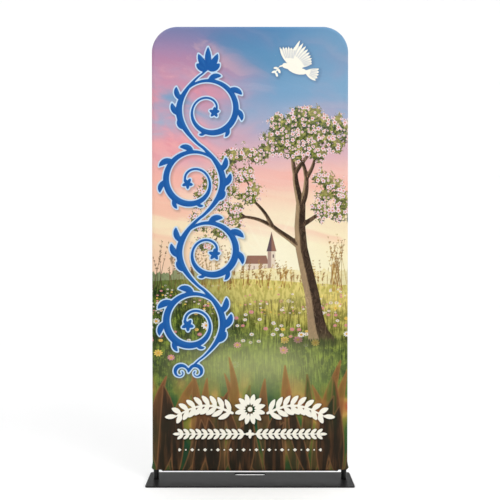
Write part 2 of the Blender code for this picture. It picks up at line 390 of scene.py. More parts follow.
def new_piece(name, points, quads, material, replaced=(), uv=None, fields=None):
    """A mesh object from arrays of points and quads, riding on the stand."""
    mesh = bpy.data.meshes.new(name)
    mesh.vertices.add(len(points))
    mesh.vertices.foreach_set("co", np.ascontiguousarray(points, dtype=np.float32).ravel())
    mesh.loops.add(quads.size)
    mesh.loops.foreach_set("vertex_index", quads.astype(np.int32).ravel())
    mesh.polygons.add(len(quads))
    mesh.polygons.foreach_set("loop_start", np.arange(0, quads.size, 4, dtype=np.int32))
    mesh.update(calc_edges=True)
    mesh.validate()
    mesh.shade_smooth()
    if uv is not None:
        layer = mesh.uv_layers.new(name="print")
        layer.data.foreach_set("uv", uv[quads.ravel()].astype(np.float32).ravel())
    for field_name, values in (fields or {}).items():
        attribute = mesh.attributes.new(field_name, "FLOAT_VECTOR", "POINT")
        attribute.data.foreach_set("vector", values.astype(np.float32).ravel())
    mesh.materials.append(material)
    piece = bpy.data.objects.new(name, mesh)
    bpy.context.scene.collection.objects.link(piece)
    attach(piece, "root")
    if replaced:
        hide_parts(*replaced)
    return piece


def grid_quads(index, closed_across=False, closed_along=False):
    """The quads of a grid of point numbers, each from a row to the next and a column to the next."""
    rows = np.vstack([index, index[:1]]) if closed_along else index
    rows = np.hstack([rows, rows[:, :1]]) if closed_across else rows
    return np.stack([rows[:-1, :-1], rows[:-1, 1:], rows[1:, 1:], rows[1:, :-1]], axis=-1).reshape(-1, 4)


def smoothstep(share):
    share = np.clip(share, 0.0, 1.0)
    return share * share * (3 - 2 * share)


def seam_flare(side, height):
    """Out past the upright by flare x share^power, where share runs from 0 up to 1 down the last stretch."""
    share = np.clip((HEM + HEM_RISE + FLARE_HEIGHT - height) / FLARE_HEIGHT, 0.0, 1.0)
    return SEAM_FLARE[side] * share**FLARE_POWER


def hem_wrap(columns):
    """How far the hem wraps the rail at each x, 1 under it and 0 beside a post, and the run of cloth there."""
    wrap = 1.0 - smoothstep((np.abs(columns) - HEM_WRAP_END) / (HEM_FREE - HEM_WRAP_END))
    straight = ROLL - HEM_RISE
    return wrap, straight + (ROLL * QUARTER - straight) * wrap**3


def seam_hem(side, share):
    """Height of the hem on a rolled side, lifted by the seam's lift as share goes from a half to 1."""
    return HEM + HEM_RISE + SEAM_LIFT[side] * smoothstep(2 * share - 1)


def hem_strip(columns, along_share, extra, inset):
    """Points of the hem below the rail's middle line, at a share of the way down, plus a run, less an inset.

    At x the cloth curls with curvature wrap / roll over the run of cloth there, so that it is a quarter round
    under the rail, where wrap is 1, and hangs straight down beside a post, where wrap is 0.
    """
    wrap, run = hem_wrap(columns)
    along = run * along_share + extra
    curl = np.maximum(wrap / ROLL, 1e-4)
    turn = curl * along
    down = np.minimum(np.sin(turn) / curl, ROLL)
    back = np.minimum((1 - np.cos(turn)) / curl - ROLL, -SEAM_HALF_GAP)
    points = np.stack([columns, back + inset * np.cos(turn), RAIL_Z - down + inset * np.sin(turn)], axis=-1)
    points[:, 1] = np.minimum(points[:, 1], -SEAM_HALF_GAP * 0.5)
    return points


def hem_side(side, angles, insets, along_share, extra, inset):
    """Points of the hem on a rolled side, where the seam is drawn up and stands out from the upright."""
    share = np.sin(angles)
    height = RAIL_Z + (seam_hem(side, share) - RAIL_Z) * along_share - extra
    reach = ROLL + seam_flare(side, height) - insets
    x = side * (AXIS_X + (reach - inset) * share)
    depth = SEAM_HALF_GAP + (ROLL - SEAM_HALF_GAP - inset) * np.cos(angles)
    return np.stack([x, -depth, height], axis=-1)


def flat_face(cell):
    """The flat face as rows of columns inside the tubes' middle line, and the angle of the edge at each row.

    Rows go up the straight sides and then round the corners of the middle line, bend_z + bend sin a, where each
    row is as wide as the line is there. The columns are half as far apart beyond the place where the hem opens.
    """
    bend = sizes().corner_radius - ROLL
    bend_x = AXIS_X - bend
    bend_z = TOP_Z - bend
    fine_from = HEM_WRAP_END - FINE_MARGIN
    flat_columns = max(2, round(fine_from / cell))
    end_columns = max(2, round((AXIS_X - fine_from) / (cell / 2)))
    half = np.linspace(0, fine_from, flat_columns + 1)
    half = np.append(half, np.linspace(half[-1], AXIS_X, end_columns + 1)[1:])
    columns = np.append(-half[::-1], half[1:])
    straight_rows = round((bend_z - RAIL_Z) / cell)
    corner_rows = round(QUARTER * bend / cell)
    turn = np.linspace(0, QUARTER, corner_rows + 1)[1:]
    turns = np.append(np.zeros(straight_rows + 1), turn)
    heights = np.append(np.linspace(RAIL_Z, bend_z, straight_rows + 1), bend_z + bend * np.sin(turn))
    widths = bend_x + bend * np.cos(turns)
    x = columns[None, :] / AXIS_X * widths[:, None]
    z = np.repeat(heights[:, None], len(columns), axis=1)
    return np.stack([x, np.full_like(x, -ROLL), z], axis=-1), columns, turns


def rolled_edge(edge, turns, across):
    """The roll from the flat face's edge round to the seam, whose allowance is turned in, and its print places.

    At an angle a round the tube it is out from the edge by (roll + flare) sin a and back by roll cos a. On the
    print it is as far out as the arc, roll x a.
    """
    out_x = np.concatenate([-np.cos(turns), np.zeros(across - 2), np.cos(turns[::-1])])[:, None]
    out_z = np.concatenate([np.sin(turns), np.ones(across - 2), np.sin(turns[::-1])])[:, None]
    flare = np.where(edge[:, 0] < 0, seam_flare(-1, edge[:, 2]), seam_flare(1, edge[:, 2]))
    steps = sizes().roll_steps
    angles = np.append(np.arange(1, steps + 1), [steps, steps]) * QUARTER / steps
    insets = np.append(np.zeros(steps), SEAM_TURN_IN)
    gaps = np.append(np.full(steps, SEAM_HALF_GAP), SEAM_TURN_GAPS)
    reach = (ROLL + flare[:, None]) * np.sin(angles) - insets
    edge_x, edge_z = edge[:, 0, None], edge[:, 2, None]
    back = -(gaps + (ROLL - gaps) * np.cos(angles)) * np.ones_like(reach)
    arc = ROLL * angles + insets
    points = np.stack([edge_x + out_x * reach, back, edge_z + out_z * reach], axis=-1)
    places = np.stack([edge_x + out_x * arc, edge_z + out_z * arc], axis=-1)
    return points, places, angles, insets, arc


def hem_rows(columns, angles, insets, arc):
    """Rows of the hem from the rail's middle line down to its edge and up inside it, and their print places."""
    stages = [(share, 0.0, 0.0) for share in np.linspace(0, 1, HEM_STEPS + 1)[1:]]
    stages += [(1.0, extra, inset) for extra, inset in HEM_TURN_IN]
    points = []
    places = []
    reach_x = np.concatenate([-(AXIS_X + arc[::-1]), columns, AXIS_X + arc])
    for share, extra, inset in stages:
        left = hem_side(-1, angles[::-1], insets[::-1], share, extra, inset)
        middle = hem_strip(columns, share, extra, inset)
        right = hem_side(1, angles, insets, share, extra, inset)
        points.append(np.concatenate([left, middle, right]))
        down = share * ROLL * QUARTER + abs(extra) + inset
        places.append(np.stack([reach_x, np.full_like(reach_x, RAIL_Z - down)], axis=-1))
    return points, places


def sleeve_panel(facing, cell):
    """Points, quads and print places of one panel of the sleeve: the flat face, the roll round it, the hem."""
    flat, columns, turns = flat_face(cell)
    rows, across, _ = flat.shape
    number = np.arange(rows * across).reshape(rows, across)
    border = np.concatenate([number[:, 0], number[-1, 1:-1], number[::-1, -1]])
    roll, roll_print, angles, insets, arc = rolled_edge(flat.reshape(-1, 3)[border], turns, across)
    ring = np.arange(len(border) * len(angles)).reshape(len(border), -1) + number.size
    ring = np.hstack([border[:, None], ring])

    hem_points, hem_print = hem_rows(columns, angles, insets, arc)
    width = len(hem_points[0])
    top_row = np.concatenate([ring[0, :0:-1], number[0], ring[-1, 1:]])
    strip = np.arange(len(hem_points) * width).reshape(-1, width) + number.size + ring[:, 1:].size
    strip = np.vstack([top_row, strip])

    points = np.concatenate([flat.reshape(-1, 3), roll.reshape(-1, 3), *hem_points])
    places = np.concatenate([flat[..., (0, 2)].reshape(-1, 2), roll_print.reshape(-1, 2), *hem_print])
    quads = np.concatenate([grid_quads(number), grid_quads(ring.T), grid_quads(strip)[:, ::-1]])
    if facing < 0:
        points[:, 1] *= -1
        quads = quads[:, ::-1]
    return points, quads, places


# The print's motifs, as distance fields


def stroke_field(places, strokes):
    """Signed distance from each place to the nearest of several tapered strokes, below 0 inside one.

    A stroke is rows of x, z and half width. Between rows a and b the nearest share along is
    t = (p - a).(b - a) / |b - a|^2, kept from 0 to 1. The distance is |p - a - t (b - a)| less the width at t.
    """
    field = np.full(len(places), FIELD_REACH)
    order = np.argsort(places[:, 1])
    sorted_places = places[order]
    heights = sorted_places[:, 1]
    for stroke in strokes:
        for start, end in zip(stroke[:-1], stroke[1:]):
            margin = STROKE_MARGIN + max(start[2], end[2])
            low = np.searchsorted(heights, min(start[1], end[1]) - margin)
            high = np.searchsorted(heights, max(start[1], end[1]) + margin)
            near = order[low:high]
            place = sorted_places[low:high]
            run = end[:2] - start[:2]
            share = np.clip((place - start[:2]) @ run / max(run @ run, 1e-12), 0.0, 1.0)
            gap = place - start[:2] - share[:, None] * run
            distance = np.hypot(gap[:, 0], gap[:, 1]) - (start[2] + share * (end[2] - start[2]))
            field[near] = np.minimum(field[near], distance)
    return field


def leaf(base, heading, length, width, bend=0.0, steps=8):
    """A pointed leaf: its half width is width x sin(pi t)^0.75 along t, on a line that turns by bend."""
    share = np.linspace(0, 1, steps + 1)
    angle = heading + bend * (share - 0.5)
    step = length / steps
    x = base[0] + np.append(0, np.cumsum(np.cos(angle[1:]) * step))
    z = base[1] + np.append(0, np.cumsum(np.sin(angle[1:]) * step))
    half = width * np.sin(np.pi * np.clip(share, 0.02, 0.985)) ** 0.75
    return np.stack([x, z, half], axis=-1)


def volute(centre, radius, start, side, turns, width, steps=80):
    """A scroll round a centre, from its outer end inwards, drawn thick and thin as with a broad pen.

    Along s from 0 to 1 its angle is start + side x turn x s, and its radius falls as 1 - 0.83 s^1.3.
    """
    share = np.linspace(0, 1, steps + 1)
    angle = start + side * turns * math.tau * share
    reach = radius * (1 - 0.83 * share**1.3)
    swell = np.sin(math.pi * np.clip(share / 0.62, 0, 1)) ** 1.2
    half = width * (0.34 + 0.66 * swell)
    return np.stack([centre[0] + reach * np.cos(angle), centre[1] + reach * np.sin(angle), half], axis=-1)


def vine_strokes():
    """The tall blue scroll: a stem that swings round one side of a volute, then round the other of the next."""
    middle, low, spacing, count = VINE_MIDDLE, VINE_FOOT, VINE_SPACING, VINE_SCROLLS
    radius, off_middle = 0.142, 0.040
    swing = radius - off_middle
    z = np.linspace(low - 0.060, low + spacing * count + 0.030, 260)
    phase = math.pi * (z - low) / spacing
    wave = np.sin(phase)
    x = middle + swing * np.sign(wave) * np.abs(wave) ** 0.88
    taper = np.interp(z, [z[0], low + 0.1, z[-1] - 0.2, z[-1]], [0.5, 1, 1, 0.6])
    half = (0.0062 + 0.0090 * np.abs(wave) ** 1.5) * taper
    strokes = [np.stack([x, z, half], axis=-1)]
    for index in range(count):
        side = 1 if index % 2 == 0 else -1
        shrink = 1 - 0.05 * index
        centre = np.array((middle - side * off_middle, low + spacing * (index + 0.5)))
        first = math.radians(50)
        start = first if side > 0 else math.pi - first
        scroll = volute(centre, radius, start, side, 1.42, 0.0165 * shrink)
        strokes.append(scroll)
        tip = scroll[-1, :2]
        for petal in range(5):
            heading = math.tau * petal / 5 + side
            strokes.append(leaf(tip, heading, 0.029 * shrink, 0.0088 * shrink, 0.0, 5))
        for share, turn, length in (
            (0.075, 0.50, 0.078),
            (0.165, 0.60, 0.082),
            (0.255, 0.66, 0.074),
            (0.345, 0.72, 0.060),
            (0.450, 0.80, 0.044),
        ):
            index_along = int(share * (len(scroll) - 1))
            row, following = scroll[index_along : index_along + 2]
            heading = math.atan2(following[1] - row[1], following[0] - row[0]) - side * turn
            strokes.append(leaf(row[:2], heading, length * shrink, length * 0.19 * shrink, side * 1.25))
        for rise, turn, length in ((-0.085, 0.80, 0.066), (-0.020, 0.62, 0.080), (0.050, 0.42, 0.078)):
            height = centre[1] + rise
            base = np.array((np.interp(height, z, x), height))
            heading = QUARTER - side * turn
            strokes.append(leaf(base, heading, length * shrink, length * 0.19 * shrink, side * 1.1))
    top = np.array((x[-1], z[-1] - 0.006))
    for turn, length in ((-1.15, 0.062), (-0.58, 0.086), (0.0, 0.104), (0.58, 0.086), (1.15, 0.062)):
        strokes.append(leaf(top, QUARTER + turn, length, 0.0150, -0.8 * turn))
    root = np.array((x[0], z[0]))
    for turn in (-1.0, 1.0):
        centre = root + (0.036 * turn, -0.004)
        strokes.append(volute(centre, 0.036, QUARTER + turn * QUARTER, -turn, 1.1, 0.0090, 30))
    return strokes


def tree_strokes(seed=11):
    """The leaning tree: a trunk through chosen places, and limbs that fork with a third less length and girth.

    Returns the strokes of its wood and the places of its twigs' tips.
    """
    trunk = np.array(
        [
            (0.332, 0.650, 0.066),
            (0.316, 0.700, 0.046),
            (0.303, 0.780, 0.037),
            (0.288, 0.880, 0.0330),
            (0.262, 0.990, 0.0300),
            (0.240, 1.090, 0.0275),
            (0.232, 1.190, 0.0250),
            (0.236, 1.290, 0.0220),
        ]
    )
    chance = np.random.default_rng(seed)
    strokes = [trunk]
    tips = []

    def grow(base, heading, length, girth, level):
        steps = 6
        bend = chance.uniform(-0.5, 0.5)
        share = np.linspace(0, 1, steps + 1)
        angle = heading + bend * share + 0.08 * np.sin(5 * share + level)
        x = base[0] + np.append(0, np.cumsum(np.cos(angle[1:]) * length / steps))
        z = base[1] + np.append(0, np.cumsum(np.sin(angle[1:]) * length / steps))
        half = girth * (1 - 0.38 * share)
        strokes.append(np.stack([x, z, half], axis=-1))
        end = np.array((x[-1], z[-1]))
        if level == 0:
            tips.append(end)
            return
        if level < 3:
            tips.append(np.array((x[steps // 2], z[steps // 2])))
        for turn in (-1, 1):
            heading_on = angle[-1] + turn * chance.uniform(0.25, 0.62)
            heading_on += 0.12 * (QUARTER - heading_on)
            grow(end, heading_on, length * chance.uniform(0.66, 0.82), girth * 0.62, level - 1)

    for base, heading, length, girth, level in (
        (trunk[7, :2], 1.95, 0.150, 0.0185, 4),
        (trunk[7, :2], 1.15, 0.130, 0.0165, 4),
        (trunk[5, :2], 2.55, 0.170, 0.0155, 4),
        (trunk[6, :2], 0.70, 0.100, 0.0125, 3),
    ):
        grow(base, heading, length, girth, level)
    return strokes, np.array(tips)


def nearest_place(places, targets):
    """Distance from each place to the nearest target."""
    field = np.full(len(places), FIELD_REACH)
    for target in targets:
        near = np.abs(places[:, 1] - target[1]) < FIELD_REACH
        gap = places[near] - target
        field[near] = np.minimum(field[near], np.hypot(gap[:, 0], gap[:, 1]))
    return field


def blade_strokes(seed, count, low, high, width):
    """Tall leaves that rise from below the hem, spread evenly with a little chance, and arch at their tips."""
    chance = np.random.default_rng(seed)
    strokes = []
    for index in range(count):
        base = np.array((-0.47 + 0.94 * (index + chance.uniform(0.1, 0.9)) / count, 0.0))
        length = chance.uniform(low, high)
        heading = QUARTER + chance.uniform(-0.28, 0.28)
        girth = width * chance.uniform(0.75, 1.25)
        strokes.append(leaf(base, heading, length, girth, chance.uniform(-0.9, 0.9), 14))
    return strokes


def garland_strokes():
    """The ivory garland: a rosette with a leafy spray each way from it, and a straight laurel band below."""
    centre = np.array((0.0, GARLAND_HEIGHT))
    strokes = []
    for petal in range(12):
        angle = math.tau * petal / 12 + math.pi / 12
        reach = np.array((math.cos(angle), math.sin(angle)))
        strokes.append(leaf(centre + reach * 0.021, angle, 0.052, 0.0115, 0.0, 6))
    strokes.append(np.array([[centre[0], centre[1], 0.0115], [centre[0] + 0.0004, centre[1], 0.0115]]))
    share = np.linspace(0, 1, 30)
    for side in (-1, 1):
        outward = 0.0 if side > 0 else math.pi
        x = side * (0.082 + 0.262 * share)
        z = centre[1] - 0.018 + 0.042 * np.sin(math.pi * share) - 0.014 * share
        strokes.append(np.stack([x, z, 0.0058 - 0.0022 * share], axis=-1))
        for place in np.linspace(0.04, 0.92, 8):
            here = np.array((np.interp(place, share, x), np.interp(place, share, z)))
            lean = math.cos(math.pi * place) * 0.34
            for turn in (-0.88, 0.88):
                heading = outward + side * (lean + turn)
                strokes.append(leaf(here, heading, 0.066 - 0.018 * place, 0.0118, -side * turn * 0.5, 6))
        tip = np.array((x[-1], z[-1]))
        strokes.append(leaf(tip, outward - side * 0.1, 0.054, 0.0112, 0.0, 6))
        strokes.append(np.array([[side * 0.022, LAUREL_HEIGHT, 0.0030], [side * 0.330, LAUREL_HEIGHT, 0.0022]]))
        for place in np.linspace(0.030, 0.312, 11):
            here = np.array((side * place, LAUREL_HEIGHT))
            for turn in (-0.72, 0.72):
                strokes.append(leaf(here, outward + turn, 0.037, 0.0078, -turn * 0.5, 6))
        strokes.append(leaf(np.array((side * 0.326, LAUREL_HEIGHT)), outward, 0.034, 0.0070, 0.0, 6))
    for heading in (0.0, QUARTER, math.pi, -QUARTER):
        strokes.append(leaf(np.array((0.0, LAUREL_HEIGHT)), heading, 0.021, 0.0070, 0.0, 6))
    return strokes


def dove_strokes(centre=(0.222, 1.925), size=0.92):
    """A dove in flight to the left with a sprig in its beak, and the lines between its feathers.

    Its wings and tail are fans of leaves, whose headings turn and whose lengths shrink evenly along the fan.
    """

    def at(x, z):
        return np.array((centre[0] + x * size, centre[1] + z * size))

    def plume(base, degrees, length, width, bend=0.0):
        return leaf(base, math.radians(degrees), length * size, width * size, bend)

    strokes = [plume(at(0.058, -0.020), 166, 0.128, 0.0185, -0.5)]
    strokes.append(np.array([[*at(-0.066, 0.014), 0.0125 * size], [*at(-0.052, 0.010), 0.0130 * size]]))
    strokes.append(plume(at(-0.072, 0.015), 196, 0.024, 0.0040))
    lines = []
    near = ((-0.030, 0.012), (0.034, -0.008), (74, -56), (0.134, -0.062), 0.0104, -0.45, 9)
    far = ((-0.036, 0.014), (0.012, 0.0), (122, -34), (0.108, -0.018), 0.0094, -0.35, 6)
    tail = ((0.036, -0.014), (0.0, 0.0), (-42, 50), (0.074, 0.0), 0.0092, 0.30, 5)
    for root, shift, turn, length, width, bend, count in (near, far, tail):
        for place in np.linspace(0, 1, count):
            base = at(root[0] + shift[0] * place, root[1] + shift[1] * place)
            heading = turn[0] + turn[1] * place
            strokes.append(plume(base, heading, length[0] + length[1] * place, width, bend))
            between = heading + turn[1] / count * 0.5
            line = plume(base, between, (length[0] + length[1] * place) * 0.84, 0.001, bend)
            lines.append(np.column_stack([line[4:, :2], np.full(len(line) - 4, 0.0006)]))
    strokes.append(plume(at(-0.090, 0.009), 232, 0.050, 0.0026, 0.3))
    sprig = ((-0.098, 0.001, 178), (-0.099, -0.002, 292), (-0.108, -0.014, 196), (-0.111, -0.020, 290))
    for x, z, degrees in sprig:
        strokes.append(plume(at(x, z), degrees, 0.026, 0.0058))
    return strokes, lines


def wild_grass_strokes(seed, count):
    """Fine stalks that stand up over the horizon, each with a few seeds towards its tip."""
    chance = np.random.default_rng(seed)
    strokes = []
    for _ in range(count):
        place = chance.uniform(-0.46, 0.46)
        tall = chance.uniform(0.07, 0.19) * (1.25 if place < -0.05 or place > 0.34 else 0.62)
        base = np.array((place, sizes().horizon - 0.080 + chance.uniform(-0.02, 0.02)))
        heading = QUARTER + chance.uniform(-0.22, 0.22)
        bend = chance.uniform(-0.5, 0.5)
        stalk = leaf(base, heading, tall, 0.0010, bend, 8)
        stalk[:, 2] = np.linspace(0.0016, 0.0006, len(stalk))
        strokes.append(stalk)
        for step in (5, 6, 7, 8):
            for turn in (-0.6, 0.6):
                lean = heading + bend * 0.4 + turn
                strokes.append(leaf(stalk[step, :2], lean, chance.uniform(0.007, 0.013), 0.0017, 0.0, 3))
    return strokes


def print_fields(places):
    """The distance fields of the print's motifs at each place, three to an attribute.

    A field read a little way off, towards the light or away from it, gives a motif's shadow or its lit side.
    """
    wood, tips = tree_strokes()
    vine = vine_strokes()
    dove, feather_lines = dove_strokes()
    garland = garland_strokes() + dove

    def off(x, z):
        return places + np.array((x, z))

    fields = {
        "vine_wood": (
            stroke_field(places, vine),
            stroke_field(off(-0.006, 0.007), vine),
            stroke_field(places, wood),
        ),
        "twigs_blades": (
            nearest_place(places, tips),
            stroke_field(places, blade_strokes(3, 12, 0.44, 0.60, 0.026)),
            stroke_field(places, blade_strokes(5, 10, 0.36, 0.54, 0.031)),
        ),
        "blades_garland": (
            stroke_field(places, blade_strokes(8, 11, 0.24, 0.46, 0.036)),
            stroke_field(places, garland),
            stroke_field(off(-0.003, 0.004), garland),
        ),
        "lit_sides": (
            stroke_field(off(0.006, 0.003), wood),
            stroke_field(off(0.004, 0.004), vine),
            nearest_place(off(0.016, 0.016), tips),
        ),
        "stalks": (
            stroke_field(places, wild_grass_strokes(21, 84)),
            stroke_field(places, wild_grass_strokes(34, 60)),
            stroke_field(places, feather_lines),
        ),
    }
    return {name: np.stack(three, axis=-1) for name, three in fields.items()}


# Cloth and print


def knit_bump(paint, place):
    """Fine knit: rows and columns of loops a millimetre apart, as a height."""
    x, _, z = paint.split(place)
    wale = paint.sin(x * (math.tau / KNIT_WALE))
    course = paint.sin(z * (math.tau / KNIT_COURSE))
    grain = paint.solid_noise(place, 900.0, 2.0)
    return paint.bump(wale * course * 0.5 + grain, KNIT_DEPTH, 0.4)


def finish_cloth(paint, place, colour, grain):
    """The matt finish that both panels share."""
    return paint.finish(
        Base_Color=colour,
        Roughness=grain * 0.12 + 0.76,
        Normal=knit_bump(paint, place),
        Specular_IOR_Level=0.12,
        Sheen_Weight=0.03,
        Sheen_Roughness=0.5,
    )


def flowers(paint, place, cell, petals, size):
    """Scattered flowers, one to a cell of a Voronoi pattern.

    Returns masks of petals and hearts, two numbers of chance, the share of the way out and the flower's centre.
    """
    scaled = place * (1.0 / cell)
    settings = {"voronoi_dimensions": "2D", "feature": "F1"}
    inputs = {"Vector": scaled, "Scale": 1.0, "Randomness": 0.85}
    chance = paint.node("TexVoronoi", settings, inputs, "Color", "vector")
    first, second, third = paint.split(chance)
    centre = chance.beside("Position", "vector")
    x, y, _ = paint.split(scaled - centre)
    angle = paint.maths("ARCTAN2", y, x) + first * math.tau
    reach = (x * x + y * y) ** 0.5
    lobes = abs(paint.sin(angle * (petals / 2))) * 0.42 + 0.58
    across = reach / (lobes * (second * 0.4 + 0.8) * size)
    petal = paint.rise(across, 1.0, 0.86)
    heart = paint.rise(reach, size * 0.34, size * 0.26)
    return petal, heart, first, third, across, centre * cell


def paint_sky(paint, u, v, place):
    """The dawn sky: blue over lilac and rose to pale gold, with soft banks of cloud and a low sun."""
    stops = (
        (0.00, (249, 240, 200)),
        (0.09, (251, 238, 197)),
        (0.18, (249, 229, 192)),
        (0.27, (249, 216, 188)),
        (0.37, (246, 198, 186)),
        (0.48, (220, 182, 190)),
        (0.60, (160, 174, 202)),
        (0.73, (120, 163, 199)),
        (0.87, (94, 146, 186)),
        (1.00, (84, 136, 180)),
    )
    horizon = sizes().horizon
    height = (v - horizon) / (TOP - horizon)
    drift = paint.noise(place, 1.4, 2.0) - 0.5
    colour = paint.ramp(height + drift * 0.10, stops)
    right = paint.rise(u, 0.02, 0.45)
    left = paint.rise(u, 0.16, -0.42)
    colour = paint.tint(right * paint.rise(height, 0.42, 0.72) * 0.45, colour, (140, 176, 204))
    colour = paint.tint(left * paint.rise(height, 0.80, 1.0) * 0.60, colour, (122, 120, 162))
    swirl = paint.vector(paint.noise(place, 2.2, 2.0) - 0.5, paint.noise(place, 2.9, 2.0) - 0.5)
    slant = paint.vector(u, (v + u * 0.26) * 2.3) + swirl * 0.42
    bank = paint.noise(slant, 1.9, 7.0, 0.50)
    above = paint.noise(slant + (0.0, 0.09, 0.0), 1.9, 7.0, 0.50)
    band = paint.rise(height, 0.34, 0.56) * paint.rise(height, 1.04, 0.86)
    cloud = paint.rise(bank + left * 0.15, 0.44, 0.66) * band
    tint = paint.between(paint.rise(height, 0.62, 0.96), (236, 148, 160), (176, 134, 170))
    tint = paint.tint(paint.rise(bank - above, 0.00, 0.09) * 0.55, tint, (250, 190, 184))
    tint = paint.tint(paint.rise(above - bank, 0.00, 0.09) * 0.45, tint, (176, 142, 180))
    rosy = left * paint.rise(height, 0.42, 0.56) * paint.rise(height, 0.92, 0.76)
    colour = paint.tint(rosy * paint.rise(bank, 0.24, 0.46) * 0.85, colour, (232, 160, 172))
    colour = paint.mix(cloud * (left * 0.74 + 0.16), colour, tint)
    veil = paint.noise(paint.vector(u * 0.8, (v + u * 0.16) * 7.0) + swirl * 0.5, 1.5, 6.0, 0.55)
    low = paint.rise(height, 0.60, 0.36) * paint.rise(height, 0.06, 0.16)
    colour = paint.tint(paint.rise(veil + left * 0.10, 0.47, 0.70) * low * 0.48, colour, (246, 168, 152))
    high = paint.rise(height, 0.40, 0.60) * paint.rise(height, 1.0, 0.80) * (1.0 - left * 0.5)
    colour = paint.tint(paint.rise(veil, 0.55, 0.78) * high * 0.36, colour, (194, 204, 220))
    colour = paint.tint(left * paint.rise(height, 0.20, 0.04) * 0.62, colour, (238, 180, 158))
    sun_u = u - 0.085
    sun_v = v - horizon - 0.055
    distance = (sun_u * sun_u + sun_v * sun_v * 1.3) ** 0.5
    ray = paint.noise(paint.vector(paint.maths("ARCTAN2", sun_v, sun_u) * 5.0, 0.0), 1.0, 2.0)
    glow = paint.rise(distance, 0.40, 0.02)
    shine = glow * 0.66 + paint.rise(ray, 0.5, 0.75) * paint.rise(distance, 0.75, 0.05) * 0.16
    return paint.mix(paint.least(shine, 1.0), colour, tuple(colours().sun)), distance


def paint_chapel(paint, u, v, colour, light):
    """A small chapel on the far ridge: a nave seen from its side, its roof, and a tower with a spire.

    Each part is a box, the greater of |x| - half width and |z| - half height. A roof's half width falls by a
    slope times the height over its foot.
    """
    scale = 0.72
    soft = 0.0007
    x = (u - 0.082) * scale
    z = (v - sizes().horizon + 0.012) * scale

    def box(middle_x, half_x, middle_z, half_z, slope=0.0):
        across = abs(x - middle_x)
        if slope:
            across = across + (z - (middle_z - half_z)) * slope
        return paint.most(across - half_x, abs(z - middle_z) - half_z)

    def laid(shape, under, over):
        return paint.mix(paint.inside(shape, soft), under, over)

    nave = box(-0.036, 0.036, 0.016, 0.016)
    roof = box(-0.036, 0.040, 0.046, 0.014, 0.30)
    tower = box(0.013, 0.013, 0.037, 0.037)
    spire = box(0.013, 0.0165, 0.107, 0.033, 0.25)
    door = box(0.019, 0.0028, 0.006, 0.008)
    bell = box(0.019, 0.0022, 0.058, 0.0055)
    wall = paint.between(light * 0.5, (214, 198, 190), (250, 232, 196))
    shade = paint.between(light * 0.5, (150, 132, 138), (206, 172, 140))
    tile = paint.between(light * 0.5, (120, 92, 92), (178, 128, 96))
    colour = laid(nave, colour, wall)
    along = paint.maths("PINGPONG", x + 0.036, 0.009)
    pane = paint.most(abs(along - 0.009) - 0.0024, box(-0.036, 0.028, 0.018, 0.0075))
    colour = paint.mix(paint.inside(pane, soft) * 0.85, colour, shade)
    colour = laid(roof, colour, tile)
    sides = paint.mix(paint.rise(x, 0.010, 0.014), shade, wall)
    colour = laid(tower, colour, sides)
    colour = laid(paint.least(door, bell), colour, linear(104, 84, 82))
    slates = paint.mix(paint.rise(x, 0.010, 0.016), linear(96, 78, 84), tile)
    return laid(spire, colour, slates)


